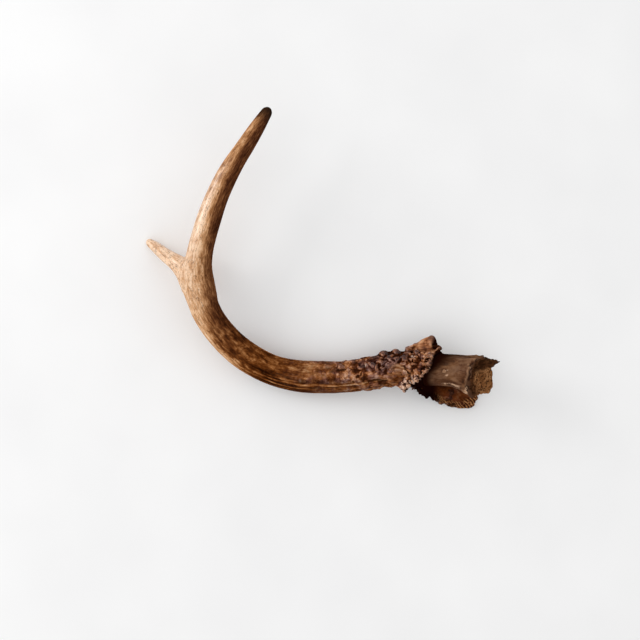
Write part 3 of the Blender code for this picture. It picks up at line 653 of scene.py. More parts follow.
def joint_ring(q, wider=0.0, shift=0.0):
    """The line where the trunk's skin meets the flat joint, moved along the bone by a shift."""
    point = np.array(JOINT_POINT) + shift * JOINT_WAY
    angle = BURR.angle(q)
    s = np.full(len(q), JOINT_AT)
    for _ in range(12):
        skin = TRUNK.surface(s, angle, wider)
        s = s - ((skin - point) @ JOINT_WAY) / (TRUNK.frame(s)[0] @ JOINT_WAY)
    return TRUNK.surface(s, angle, wider), s


def flare_root(q):
    """How far along the trunk the burr starts to flare."""
    root = BURR.trunk_position(q) - BURR.read(BURR.back, q)
    return np.minimum(root, joint_ring(q)[1] - LEAST_FLARE)


def wave(q, times, start=0.0):
    """A wave that goes round the rim a number of times."""
    return np.sin(FULL_TURN * times * q + start)


def scallops(q, count, drift, sizes, swings):
    """A row of scallops round the rim, from 0 in the notches to 1, and how large each place's is."""
    drifted = sum(size * wave(q, times, begin) for times, size, begin in drift)
    first, second, start = swings
    size = sizes[0] + sizes[1] * wave(q, first, start) * wave(q, second)
    return np.abs(np.sin(math.pi * (count * q + drifted))), size


def lobe_wave(q):
    """The burr's uneven lobes: 0 in the notches and 1 on the lobes."""
    height, size = scallops(q, RIM_LOBES, LOBE_DRIFT, LOBE_SIZES, LOBE_SWINGS)
    return height * size


def scallop_wave(q):
    """The small uneven teeth between the lobes, from -0.5 to 0.5."""
    height, size = scallops(q, SCALLOPS, SCALLOP_DRIFT, SCALLOP_SIZES, SCALLOP_SWINGS)
    return (height - 0.5) * size


def off_spike(points):
    """Nothing on the burr's long smooth lobe, one away from it."""
    return smoothstep(*SPIKE_CALM, distance(points, SPIKE))


def on_fan(points):
    """One on the burr's low, fan-shaped lobe."""
    return smoothstep(FAN_TOP, 0.5 * FAN_TOP, points[:, 2])


def beam_skin(q, t):
    """The smooth antler. t is 0 at the tip, 1 where the burr flares, 2 and 3 on either face of
    its rim, 4 where its cup meets the skull bone, and 5 in the middle of the flat joint."""
    root_at = flare_root(q)
    root = TRUNK.surface(root_at, BURR.angle(q))
    along = TRUNK.frame(root_at)[0]
    middle = BURR.point(q)
    out = unit(middle - TRUNK.centre(BURR.trunk_position(q)))
    stand = (lobe_wave(q) - LOBE_MIDDLE) * mix(LOBE_DEPTH, FAN_LOBE_DEPTH, on_fan(middle))
    stand = (stand + scallop_wave(q) * SCALLOP_DEPTH) * off_spike(middle)
    rim = middle + stand[:, None] * out
    span = np.linalg.norm(rim - root, axis=1, keepdims=True)
    cup, cup_at = joint_ring(q, wider=CUP_CLEARANCE)
    face = unit(mix(JOINT_WAY[None, :], TRUNK.frame(cup_at)[0], RIM_TILT))
    face = np.cross(out, unit(np.cross(face, out)))
    spike = smoothstep(*SPIKE_TIP_REACH[::-1], distance(middle, SPIKE_TIP))[:, None]
    half = 0.5 * (RIM_THICKNESS + SPIKE_THICKENING * spike)
    lean = SPIKE_LEAN * spike
    rim = rim - 0.5 * SPIKE_THICKENING * spike * face
    front = rim - half * np.cos(lean) * face - half * (1 - np.sin(lean)) * out
    back = rim + half * face - half * out

    s = np.clip(t, 0, 1) * root_at
    skin = TRUNK.surface(s, angle_at(q, s, root_at))
    straight = BURR.read(BURR.straight, q)[:, None]
    leave = mix(along * span * FLARE_LEAVES, front - root, straight)
    arrive = mix(out * span * FLARE_ARRIVES, front - root, straight)
    flare = hermite(root, leave, front, arrive, np.clip(t - 1, 0, 1))
    turn = mix(lean, math.pi, np.clip(t - 2, 0, 1)[:, None])
    edge = rim - half * out - half * np.cos(turn) * face + half * np.sin(turn) * out
    reach = np.linalg.norm(cup - back, axis=1, keepdims=True)
    into_cup = -(out + CUP_HOLLOW * face) * reach
    landing = -TRUNK.direction(cup_at, BURR.angle(q)) * reach * CUP_LANDING
    inward = hermite(back, into_cup, cup, landing, np.clip(t - 3, 0, 1))
    cap = mix(cup, np.array(JOINT_POINT, float)[None, :], np.clip(t - 4, 0, 1)[:, None])
    band = np.floor(np.clip(t, 0, 4.999)).astype(int)
    return np.choose(band[:, None], [skin, flare, edge, inward, cap])


def break_turns():
    """The turn, as a share of the full circle, of each of the broken rim's points."""
    rim = np.array(BREAK_RIM, float)
    along, across, down = TRUNK.frame(np.full(len(rim), TRUNK.length))
    out = rim - np.array(BREAK_CENTRE)
    angles = np.arctan2(-(out * down).sum(axis=1), -(out * across).sum(axis=1))
    by_angle = np.unwrap(angles) / FULL_TURN
    chords = chord_lengths(np.vstack([rim, rim[:1]]))
    return by_angle[0] + mix(by_angle - by_angle[0], chords[:-1] / chords[-1], 1 - BREAK_EVENNESS)


def bone_skin(q, t):
    """The smooth skull bone: t is 0 in the middle of the joint, 1 at its edge, 2 at the broken
    rim and 3 in the middle of the broken face."""
    angle = BURR.angle(q)
    ring, ring_at = joint_ring(q, shift=PIECE_GAP)
    middle = np.array(JOINT_POINT) + PIECE_GAP * JOINT_WAY
    points = np.array(BREAK_RIM, float)
    turns = break_turns()
    rim = smooth_curve(turns, points, angle / FULL_TURN, period=1.0)
    rim_at = smooth_curve(turns, BURR.nearest_on_trunk(points), angle / FULL_TURN, period=1.0)
    end_at = np.minimum(rim_at, TRUNK.length)

    cap = mix(middle[None, :], ring, np.clip(t, 0, 1)[:, None])
    f = np.clip(t - 1, 0, 1)
    tube = TRUNK.surface(mix(ring_at, end_at, f), angle)
    wall = tube + (rim - TRUNK.surface(end_at, angle)) * smoothstep(*BREAK_BLEND, f)[:, None]
    f = np.clip(t - 2, 0, 1)
    face = mix(rim, np.array(BREAK_CENTRE, float)[None, :], f[:, None])
    hollow = distance(face, BREAK_HOLLOW) / BREAK_HOLLOW_REACH
    inward = BREAK_HOLLOW_DEPTH * np.exp(-hollow**2) * smoothstep(0.0, HOLLOW_BLEND, f)
    face = face - inward[:, None] * TRUNK.frame(np.full(len(q), TRUNK.length))[0]
    band = np.floor(np.clip(t, 0, 2.999)).astype(int)
    return np.choose(band[:, None], [cap, wall, face])


def tine_skin(q, t):
    """The smooth tine: t is 0 at its root inside the beam and 1 at its tip."""
    limb = TINE_LIMB
    s = t * (limb.length + TINE_ROUNDING * TINE_CAP)
    near_tip = np.clip((s - limb.length + TINE_ROUNDING * (1 - TINE_CAP)) / TINE_ROUNDING, 0.0, 1.0)
    inside = np.minimum(s, limb.length)
    radius = limb.half_width(inside) * np.sqrt(1 - near_tip**2)
    radius = radius * smoothstep(*TINE_ROOT_OPENS, t)
    along, across, down = limb.frame(inside)
    side = radius * np.cos(FULL_TURN * q)
    up = radius * tine_flatness(t) * np.sin(FULL_TURN * q)
    return (limb.centre(inside) + (s - inside)[:, None] * along
            - side[:, None] * across - up[:, None] * down)


# ---- relief ----

def rough(points, height, size, seed):
    """Smooth random bumps up and down, of one size or of a size along each axis."""
    offset = Vector((seed * 17.3, seed * 5.1, seed * 9.7))
    scaled = points / np.asarray(size, float)
    return height * np.array([noise.noise(Vector(p) + offset) for p in scaled.tolist()])


def billow(points, height, size, seed, level):
    """Uneven rounded lumps with sharp creases between them."""
    return height * (np.clip(3.0 * np.abs(rough(points, 1.0, size, seed)), 0.0, 1.6) - level)


def warped(points, height, size, seed, axes=3):
    """Points pulled about by slow noise, in which round things come out uneven."""
    pull = [rough(points, height, size, seed + axis) for axis in range(axes)]
    return points[:, :axes] + np.stack(pull, axis=1)


def on_top(x, y):
    """The point of the trunk's skin that is seen from above at x and y."""
    s = np.linspace(0, TRUNK.length, 3000)
    at = s[[distance(TRUNK.centre(s)[:, :2], (x, y)).argmin()]]
    along, across, down = TRUNK.frame(at)
    side = -float((np.array([x, y, 0.0]) - TRUNK.centre(at)[0] * (1, 1, 0)) @ across[0])
    radius = float(TRUNK.half_width(at)[0])
    angle = math.acos(max(-1.0, min(1.0, side / radius)))
    return TRUNK.surface(at, np.array([angle]))[0]


def skin_samples():
    """Points all over the smooth burr and the beam next to it."""
    rows = np.concatenate([np.linspace(*span) for span in SAMPLED_ROWS])
    q, t = np.meshgrid(np.linspace(0.0, 1.0, SAMPLES_AROUND), rows)
    return beam_skin(q.ravel(), t.ravel())


SKIN_SAMPLES = skin_samples()


def seen_from_above(x, y):
    """The point of the smooth antler that is seen from above at x and y."""
    gap = distance(SKIN_SAMPLES[:, :2], (x, y))
    near = SKIN_SAMPLES[gap < max(1.0, gap.min() + 0.2)]
    return near[near[:, 2].argmax()]


def ball_knobs(points, normals, knobs):
    """How far each point moves for knobs that are narrower at their foot than above it.
    Each knob is a centre, a radius, a height and how far round its own ball its skin goes."""
    tree = search_tree(points)
    moved = np.zeros_like(points)
    tallest = np.zeros(len(points))
    for centre, radius, height, wrap in knobs:
        near = np.array([hit[1] for hit in tree.find_range(Vector(centre), radius)], int)
        if not len(near):
            continue
        up = normals[tree.find(Vector(centre))[1]]
        near = near[normals[near] @ up > 0.0]
        local = points[near] - centre
        turn = wrap * np.linalg.norm(local, axis=1) / radius
        flat = local - (local @ up)[:, None] * up
        spread = np.linalg.norm(flat, axis=1) + TINY
        wider = (radius * np.sin(turn) / math.sin(wrap) - spread) / spread * KNOB_ROUNDNESS
        rise = height * (np.cos(turn) - math.cos(wrap)) / (1 - math.cos(wrap))
        wins = rise > tallest[near]
        moved[near[wins]] = (flat * wider[:, None] + rise[:, None] * up)[wins]
        tallest[near[wins]] = rise[wins]
    return moved


def beam_knobs(rng):
    """The large knobs, the pearls strewn round them, and the beads on the burr."""
    knobs = [(seen_from_above(x, y), radius, height, KNOB_WRAP[1])
             for x, y, radius, height in KNOBS]
    for _ in range(PEARL_COUNT):
        from_burr = PEARL_REGION * rng.random() ** PEARL_CROWDING
        angle = rng.normal(*PEARL_SIDE)
        fade = 1 - from_burr / PEARL_REGION
        if rng.random() < STRAY_PEARLS:
            angle = FULL_TURN * rng.random()
            from_burr = 0.4 * from_burr
        at = np.array([JOINT_AT - PEARLS_FROM - from_burr])
        radius = PEARL_RADIUS[0] + PEARL_RADIUS[1] * rng.random() * mix(0.2, 1.0, fade)
        height = (PEARL_HEIGHT[0] + PEARL_HEIGHT[1] * fade * rng.random()) * radius
        wrap = rng.uniform(*KNOB_WRAP)
        knobs.append((TRUNK.surface(at, np.array([angle]))[0], radius, height, wrap))
    for _ in range(BEAD_COUNT):
        q = np.array([rng.random()])
        t = np.array([BEAD_PLACE[0] + BEAD_PLACE[1] * rng.random() ** 0.8])
        radius = BEAD_RADIUS[0] + BEAD_RADIUS[1] * rng.random()
        height = (BEAD_HEIGHT[0] + BEAD_HEIGHT[1] * rng.random()) * radius
        place = beam_skin(q, t)
        calm = off_spike(place)[0]
        if calm > LEAST_BEAD:
            knobs.append((place[0], radius, height * calm, rng.uniform(*KNOB_WRAP)))
    return knobs


def dent_depth(points):
    """How deep each point lies in one of the hollows."""
    depth = np.zeros(len(points))
    for x, y, radius, deepest in DENTS:
        gap = distance(points, seen_from_above(x, y))
        depth = np.maximum(depth, deepest * smoothstep(radius, 0.2 * radius, gap))
    return depth


def ripples(points):
    """The height of the curved ridges, where they are, and where nothing else grows for them."""
    off = warped(points, *RIPPLE_WARP, axes=2) - np.array(RIPPLE_CENTRE)
    gap = np.linalg.norm(off, axis=1)
    turn = np.arctan2(off[:, 1], off[:, 0]) + rough(points, *RIPPLE_TURN)
    above = points[:, 2] > TRUNK.centre(np.array([JOINT_AT]))[0, 2] - RIPPLE_DEPTH
    sector = between(*RIPPLE_SECTOR, turn) * above
    height = sum(smoothstep(1.2, 0.0, np.abs(gap - radius)) for radius in RIPPLE_RADII)
    height = height * smoothstep(1.0, RIPPLE_RADII[-1], gap)
    place = between(*RIPPLE_PLACE, gap) * sector
    return height * sector, place, np.maximum(place, smoothstep(*RIPPLE_CALM, gap) * above)


def crags(t, points, uneven, unbent, craggy, lumpy):
    """Lumps in patches near the burr, and furrows where there are none."""
    lumps = billow(uneven, *LUMPS) - billow(uneven, *CREASES)
    lumps = lumps + rough(uneven, *GRAVEL) + rough(points, *GRIT)
    patchy = smoothstep(-0.3, 0.3, rough(points, *PATCHES))
    lumps = lumps * mix(0.35, 1.1, patchy) * mix(1.0, 0.65, smoothstep(*LOWER_LUMPS, t))
    furrows = rough(points, *CRUMBLE) - billow(unbent, *FURROWS)
    return (lumps * lumpy + furrows * craggy * (1 - lumpy)) * smoothstep(*CRAGS_END, t)


def rim_ribs(q, t, points):
    """Ribs across the burr's rim, which follow its lobes and teeth."""
    ribs = 0.6 * (lobe_wave(q) - 0.5) + 0.45 * scallop_wave(q)
    ribs = ribs + rough(points, *RIB_GRAIN) + rough(points, *RIB_SWELL)
    return mix(RIB_HEIGHT, FAN_RIB_HEIGHT, on_fan(points)) * ribs * between(*RIBS, t)


def jagged_edge(t, points, uneven, calm):
    """The torn end of the fan, and the rim's worn teeth."""
    torn = smoothstep(*TORN_Z, points[:, 2]) * between(*TORN_X, points[:, 0])
    torn = torn * between(*TORN, t) * calm
    by_teeth = smoothstep(*BY_TEETH, distance(points, TEETH)) * smoothstep(*ON_FLARE, t)
    return torn * billow(uneven, *TORN_LUMPS) + by_teeth * billow(points, *TEETH_LUMPS)


def beam_relief(q, t, points, normals):
    """How far each point of the smooth antler moves."""
    unbent = TRUNK.unbend(points)
    uneven = warped(points, *KNOB_WARP)
    from_burr = distance(points, JOINT_POINT)
    craggy = smoothstep(*CRAGGY, from_burr)
    lumpy = craggy * smoothstep(*LUMPY_SIDE, outer_share(unbent))
    lumpy = np.clip(lumpy + smoothstep(*LUMPY_ROUND, from_burr), 0.0, 1.0)
    calm = off_spike(points)
    curved, _, no_knobs = ripples(points)

    ridges = rough(unbent, *RIDGES) + rough(unbent, *FINE_RIDGES)
    ridges = ridges * mix(0.2, 1.0, smoothstep(*NEAR_BURR, from_burr))
    ridges = ridges * (1 - 0.6 * smoothstep(*ON_FLARE, t))
    waves = smoothstep(*WAVY, from_burr) * (1 - lumpy) * rough(unbent, *WAVES)
    rugged = crags(t, points, uneven, unbent, craggy, lumpy)
    rugged = rugged * mix(0.12, 1.0, calm) * (1 - 0.85 * no_knobs)
    total = ridges + rough(unbent, *SWELL) + waves + rugged + rim_ribs(q, t, points) * calm
    total = total + jagged_edge(t, points, uneven, calm) - dent_depth(uneven) + 0.4 * curved
    total = total * smoothstep(*RELIEF_END, t)

    knobs = ball_knobs(uneven, normals, beam_knobs(np.random.default_rng(SEED)))
    knobs = knobs * (smoothstep(*KNOBS_END, t) * (1 - no_knobs))[:, None]
    return total[:, None] * normals + knobs


def tine_relief(q, t, points, normals):
    unbent = TINE_LIMB.unbend(points)
    height = rough(unbent, *TINE_SWELL) + rough(unbent, *TINE_GRAIN)
    return (height * smoothstep(0.0, 0.1, t))[:, None] * normals


def bone_relief(q, t, points, normals):
    """Low lumps on the wall, a rough broken face and a crust inside its edge."""
    uneven = warped(points, *KNOB_WARP)
    wall = rough(points, *WALL_SWELL) + rough(TRUNK.unbend(points), *WALL_GRAIN)
    face = rough(points, *FACE_LUMPS) + rough(points, *FACE_GRAVEL) + rough(points, *FACE_GRIT)
    crust = billow(uneven, *CRUST_LUMPS) + rough(points, *CRUST_GRAIN)
    crust = crust * mix(0.3, 1.0, smoothstep(*CRUST_Z, points[:, 2]))
    on_wall = between(*WALL, t)
    total = wall * on_wall + face * smoothstep(*FACE, t) + crust * between(*CRUST, t)
    knobs = [(on_top(x, y), radius, height, KNOB_WRAP[0]) for x, y, radius, height in BONE_KNOBS]
    rounded = ball_knobs(uneven, normals, knobs)
    return total[:, None] * normals + rounded * on_wall[:, None]


# ---- meshes ----

def rolled_sheet(name, around, rows, skin, relief, finer=()):
    """A flat grid rolled into a closed skin. Each vertex keeps its place, q and t, on the sheet.
    Each entry of finer is a t beyond which the sheet is subdivided once more."""
    mesh = bmesh.new()
    bmesh.ops.create_grid(mesh, x_segments=around, y_segments=len(rows) - 1, size=1)
    row_at = np.linspace(-1, 1, len(rows))
    for limit in finer:
        low = np.interp(limit, rows, row_at) - TINY
        edges = [e for e in mesh.edges if min(v.co.y for v in e.verts) > low]
        bmesh.ops.subdivide_edges(mesh, edges=edges, cuts=1, use_grid_fill=True)
    flat = np.array([v.co[:] for v in mesh.verts])
    q = np.round((flat[:, 0] + 1) / 2, 9)
    t = np.interp(flat[:, 1], row_at, rows)
    q[q >= 1.0] = 0.0
    place = mesh.verts.layers.float_vector.new("place")
    for vert, point, q_here, t_here in zip(mesh.verts, skin(q, t).tolist(), q.tolist(), t.tolist()):
        vert.co = point
        vert[place] = (q_here, t_here, 0)
    bmesh.ops.remove_doubles(mesh, verts=mesh.verts, dist=WELD)
    bmesh.ops.triangulate(mesh, faces=[face for face in mesh.faces if len(face.verts) > 4])
    bmesh.ops.recalc_face_normals(mesh, faces=mesh.faces)
    obj = bpy.data.objects.new(name, bpy.data.meshes.new(name))
    mesh.to_mesh(obj.data)
    mesh.free()
    raise_relief(obj.data, relief)
    bpy.context.scene.collection.objects.link(obj)
    return obj


def read(mesh, layer):
    """A mesh's points, its normals, or a vector layer of it, as an array."""
    values = np.empty(len(mesh.vertices) * 3)
    if layer == "co":
        mesh.vertices.foreach_get("co", values)
    elif layer == "normal":
        mesh.vertex_normals.foreach_get("vector", values)
    else:
        mesh.attributes[layer].data.foreach_get("vector", values)
    return values.reshape(-1, 3)


def move_points(mesh, points):
    mesh.vertices.foreach_set("co", points.ravel())
    mesh.update()


def raise_relief(mesh, relief):
    """Move every vertex by the relief there."""
    points = read(mesh, "co")
    q, t, _ = read(mesh, "place").T
    move_points(mesh, points + relief(q, t, points, read(mesh, "normal")))


def rows_of(first, *counts):
    """Even rows over one step of t after another, from the first, and how many on each."""
    return [first + step + np.linspace(0, 1, count)[1 if step else 0:]
            for step, count in enumerate(counts)]


def beam_rows():
    """Rows of the antler's sheet, closer at the tip and where there are pearls."""
    root = float(flare_root(np.array([0.0]))[0])
    plain = np.arange(0.0, root - PEARL_REGION, SMOOTH_STEP)
    pearly = np.arange(plain[-1] + SMOOTH_STEP, root - 8 * PEARL_STEP, PEARL_STEP)
    last = np.arange(pearly[-1] + PEARL_STEP, root - PEARL_STEP, 2 * PEARL_STEP)
    beam = np.concatenate([[0.0], TIP_ROWS, plain[1:], pearly, last]) / root
    return np.concatenate([beam, *rows_of(1, FLARE_ROWS, EDGE_ROWS, CUP_ROWS, CAP_ROWS)])


def bone_rows():
    return np.concatenate(rows_of(0, CAP_ROWS, BONE_WALL_ROWS, BONE_FACE_ROWS))


def tine_rows():
    """Rows of the tine's sheet, closer towards its tip."""
    return 1 - (1 - np.linspace(0, 1, TINE_ROWS)) ** TINE_CROWDING


def join_tine(antler, tine):
    """The tine grown onto the beam as one skin."""
    modifier = antler.modifiers.new("Tine", "BOOLEAN")
    modifier.operation = "UNION"
    modifier.solver = "EXACT"
    modifier.object = tine
    graph = bpy.context.evaluated_depsgraph_get()
    joined = bpy.data.meshes.new_from_object(antler.evaluated_get(graph))
    antler.modifiers.clear()
    antler.data = joined
    bpy.data.objects.remove(tine)


def near_seam(points):
    """How close each point is to the seam between beam and tine, in millimetres inside its reach."""
    on_beam = TRUNK.unbend(points)
    flat = TRUNK.flatness(on_beam[:, 2])
    beam_gap = np.hypot(on_beam[:, 0], on_beam[:, 1] / flat) - TRUNK.half_width(on_beam[:, 2])
    on_tine = TINE_LIMB.unbend(points)
    tine_at = np.clip(on_tine[:, 2], 0.0, TINE_LIMB.length)
    flat = tine_flatness(tine_at / TINE_LIMB.length)
    behind = np.minimum(on_tine[:, 2], 0.0)
    tine_gap = np.linalg.norm([on_tine[:, 0], on_tine[:, 1] / flat, behind], axis=0)
    tine_gap = tine_gap - TINE_LIMB.half_width(tine_at)
    return np.clip(CROTCH_REACH - np.abs(beam_gap - tine_gap), 0.0, None)


def fill_crotch(mesh):
    """Round off the seam between beam and tine, and smooth what is next to it."""
    points = read(mesh, "co")
    index = np.flatnonzero(distance(points, FORK) < FORK_REACH)
    close = near_seam(points[index])
    lift = close**2 / (4 * CROTCH_REACH)
    points[index] += lift[:, None] * read(mesh, "normal")[index]
    move_points(mesh, points)

    seam = set(index[close > 0.2 * CROTCH_REACH].tolist())
    skin = bmesh.new()
    skin.from_mesh(mesh)
    skin.verts.ensure_lookup_table()
    bmesh.ops.remove_doubles(skin, verts=[skin.verts[i] for i in seam], dist=CROTCH_WELD)
    around_seam = [v for v in skin.verts if v.index in seam]
    for _ in range(CROTCH_ROUNDS):
        bmesh.ops.smooth_vert(
            skin, verts=around_seam, factor=0.5, use_axis_x=True, use_axis_y=True, use_axis_z=True
        )
    bmesh.ops.recalc_face_normals(skin, faces=skin.faces)
    skin.to_mesh(mesh)
    skin.free()


# ---- what the materials read from each vertex ----

def scuffed(points, normals, scuffs):
    """How pale each point is from the streaks seen from above, partly wear and partly a painted
    highlight, on tops that face up.
    """
    worn = np.zeros(len(points))
    wavy = warped(points, *SCUFF_WARP, axes=2)
    grain = rough(points, *SCUFF_GRAIN)
    for x0, y0, x1, y1, half in scuffs:
        start, along = np.array([x0, y0]), np.array([x1 - x0, y1 - y0])
        f = np.clip((wavy - start) @ along / (along @ along), 0.0, 1.0)
        gap = np.linalg.norm(wavy - start - f[:, None] * along, axis=1)
        fade = mix(0.35, 1.0, np.sin(math.pi * f)) * smoothstep(-0.5, 0.2, grain)
        worn = np.maximum(worn, fade * smoothstep(1.3 * half, 0.2 * half, gap))
    return worn * smoothstep(0.0, 0.3, normals[:, 2])


def hollowness(mesh, *rounds):
    """How far each point stands out of its surroundings, in millimetres; negative in hollows.
    More rounds of smoothing take in wider surroundings."""
    points = read(mesh, "co")
    normals = read(mesh, "normal")
    ends = np.empty(len(mesh.edges) * 2, int)
    mesh.edges.foreach_get("vertices", ends)
    a, b = ends.reshape(-1, 2).T
    count = len(points)
    neighbours = np.bincount(a, minlength=count) + np.bincount(b, minlength=count)
    smooth = points.copy()
    found = []
    for turn in range(1, max(rounds) + 1):
        total = np.empty_like(smooth)
        for axis in range(3):
            total[:, axis] = (np.bincount(a, smooth[b, axis], minlength=count)
                              + np.bincount(b, smooth[a, axis], minlength=count))
        smooth = (1 - SMOOTHING) * smooth + SMOOTHING * total / neighbours[:, None]
        if turn in rounds:
            found.append(((points - smooth) * normals).sum(axis=1))
    return found


def keep_values(mesh, **values):
    """Store a number or a vector for each vertex under each name."""
    for name, value in values.items():
        vector = value.ndim == 2
        layer = mesh.attributes.new(name, "FLOAT_VECTOR" if vector else "FLOAT", "POINT")
        layer.data.foreach_set("vector" if vector else "value", value.ravel())


def band_tone(s, outer, waver):
    """How much paler or darker the skin is in the bands that run along the beam."""
    tone = np.zeros(len(s))
    for middle, width, start, end, change in BANDS:
        across = smoothstep(width, 0.35 * width, np.abs(outer - middle + waver))
        tone += change * across * between(start - 10, start + 10, end - 12, end + 12, s)
    return tone


def bleaching(unbent, tine_share):
    """Where the skin has weathered pale, with painted light on the outer side and painted shade on the
    inner side: the tine, the outer side of the fork and of the beam.
    """
    s = unbent[:, 2]
    outer = outer_share(unbent)
    edge = smooth_curve(*zip(*PALE_EDGE), np.clip(s, 0, PALE_EDGE[-1][0]))
    most = smooth_curve(*zip(*PALE_MOST), np.clip(s, 0, PALE_MOST[-1][0]))
    pale = mix(INNER_TONE, most, smoothstep(edge - 0.80, edge + 0.5, outer))
    lower_outer = mix(*LOWER_OUTER_TONES, smoothstep(*LOWER_CHANGE, JOINT_AT - s))
    lower = mix(LOWER_INNER_TONE, lower_outer, smoothstep(*LOWER_SIDE, outer))
    pale = mix(pale, lower, smoothstep(*LOWER_BEAM, s))
    pale = pale + band_tone(s, outer, rough(unbent, *BAND_WAVER))
    return mix(pale, TINE_TONE, tine_share)


def tine_shares(unbent):
    """How much each point belongs to the tine."""
    s = unbent[:, 2]
    beam_gap = np.hypot(unbent[:, 0], unbent[:, 1]) - TRUNK.half_width(np.clip(s, 0, TRUNK.length))
    by_fork = (s >= FORK_SPAN[0]) & (s <= FORK_SPAN[1])
    return smoothstep(*ON_TINE, beam_gap) * by_fork


def keep_beam_values(mesh):
    points, t = read(mesh, "co"), read(mesh, "place")[:, 1]
    unbent = TRUNK.unbend(points)
    s, outer = unbent[:, 2], outer_share(unbent)
    tine_share = tine_shares(unbent)
    on_burr = smoothstep(*BURR_LOOK, t)
    off_fork = smoothstep(*OFF_FORK, distance(points, FORK))
    hollow, deep = hollowness(mesh, *HOLLOW_ROUNDS)
    knobby = smoothstep(*KNOBBY, distance(points, JOINT_POINT))
    knobby = knobby * mix(1.0, 0.35, smoothstep(*LESS_KNOBBY, outer))
    crest, rippled, _ = ripples(points)
    # pale worn streaks, partly painted highlights
    scuff = scuffed(points, read(mesh, "normal"), SCUFFS) * (1 - smoothstep(*CUP_LOOK, t))
    keep_values(
        mesh,
        unbent=unbent * MM,
        tine_unbent=TINE_LIMB.unbend(points) * MM,
        tine_share=tine_share,
        # bleaching, partly painted light on the outer side and painted shade on the inner side
        pale=bleaching(unbent, tine_share),
        hollow=hollow * off_fork,
        deep=deep * off_fork,
        knobby=np.maximum(knobby, on_burr),
        mottled=smoothstep(*MOTTLED, s) * smoothstep(*MOTTLED_SIDE, outer) * (1 - on_burr),
        ridged=smoothstep(*RIDGED, s) * smoothstep(*RIDGED_SIDE, outer) * (1 - on_burr),
        # painted shade on the upper inner side near the burr
        upper_inner=smoothstep(*UPPER_INNER, outer) * (1 - on_burr),
        polished=smoothstep(*POLISHED_SIDE, outer) * between(*POLISHED, s),
        ripple_crest=crest,
        rippled=rippled,
        scuff=scuff,
    )


def keep_burr_values(mesh):
    points = read(mesh, "co")
    x, z = points[:, 0], points[:, 2]
    q, t, _ = read(mesh, "place").T
    on_burr, in_cup = smoothstep(*BURR_LOOK, t), smoothstep(*CUP_LOOK, t)
    calm = off_spike(points)
    top_gap = distance(points, SPIKE_TIP) + rough(points, *SPIKE_TOP_WAVER)
    fan = smoothstep(*FAN_LOOK_Z, z) * smoothstep(*FAN_LOOK_X, x)
    from_rim = np.linalg.norm(points - BURR.point(q), axis=1)
    ribbed = mix(smoothstep(*LIP_END, t), smoothstep(*FAN_RIBS, from_rim), fan)
    pocket = distance(points[:, :2], SPIKE_POCKET) + rough(points, *POCKET_WAVER)
    # Painted shade under the fan's left end and in the pocket at the long lobe's foot.
    shaded = smoothstep(*SHADED_Z, z) * between(*SHADED_X, x)
    keep_values(
        mesh,
        cup=in_cup,
        # painted shade in the cup under the bone
        under_bone=np.maximum(smoothstep(*UNDER_BONE, t), smoothstep(*UNDER_BONE_X, x)) * in_cup,
        spike=(1 - calm) * on_burr,
        spike_top=0.8 * smoothstep(*SPIKE_TOP_SIZE, top_gap),
        rim_length=BURR.length_along(q) * MM,
        ribbed=smoothstep(*RIBBED, t) * ribbed * calm * mix(0.55, 1.0, fan),
        shaded=np.maximum(shaded, 0.9 * smoothstep(*POCKET_SIZE, pocket)) * on_burr,
        # where the burr's teeth get painted highlights
        teeth=smoothstep(*BY_TEETH, distance(points, TEETH)) * on_burr,
    )


def keep_bone_values(mesh):
    points, t = read(mesh, "co"), read(mesh, "place")[:, 1]
    unbent = TRUNK.unbend(points)
    hollow, deep = hollowness(mesh, *HOLLOW_ROUNDS)
    past_joint = (points - np.array(JOINT_POINT)) @ JOINT_WAY
    reach = mix(*BURR_SHADE_REACH, smoothstep(-0.3, 0.7, unbent[:, 0] / 15.0))
    broken = smoothstep(*BROKEN_LOOK, t)
    crust = between(*CRUST_LOOK, t) * smoothstep(*CRUST_LOOK_Z, points[:, 2])
    under_spur = points[:, 1] - 0.25 * (points[:, 0] - BREAK_CENTRE[0])
    under_spur = under_spur + rough(points, *SPUR_WAVER)
    keep_values(
        mesh,
        unbent=unbent * MM,
        hollow=hollow,
        deep=deep,
        # stain and painted shadow on the bone next to the burr
        by_burr=smoothstep(1.0, 0.25, past_joint / reach),
        broken=broken,
        # pale worn streaks, partly painted highlights
        scuff=scuffed(points, read(mesh, "normal"), BONE_SCUFFS),
        crust=np.maximum(crust, smoothstep(*UNDER_SPUR, under_spur) * broken),
    )


def finish_skin(obj, material):
    """Scale a skin to metres, keep it on the table and in the solids' box, and shade it smooth."""
    mesh = obj.data
    mesh.transform(Matrix.Scale(MM, 4) @ Matrix.Translation(-Vector(ORIGIN)))
    low, high = np.array(CAD_BOX[0]), np.array(CAD_BOX[1])
    move_points(mesh, np.clip(read(mesh, "co"), low, high))
    mesh.shade_smooth()
    mesh.materials.clear()
    mesh.materials.append(material)


def make_antler(material):
    antler = rolled_sheet("antler_skin", AROUND, beam_rows(), beam_skin, beam_relief,
                          finer=FINER_FROM)
    tine = rolled_sheet("tine_skin", TINE_AROUND, tine_rows(), tine_skin, tine_relief)
    join_tine(antler, tine)
    fill_crotch(antler.data)
    keep_beam_values(antler.data)
    keep_burr_values(antler.data)
    finish_skin(antler, material)
    return antler


def make_bone(material):
    bone = rolled_sheet("skull_bone_skin", BONE_AROUND, bone_rows(), bone_skin, bone_relief)
    keep_bone_values(bone.data)
    finish_skin(bone, material)
    return bone


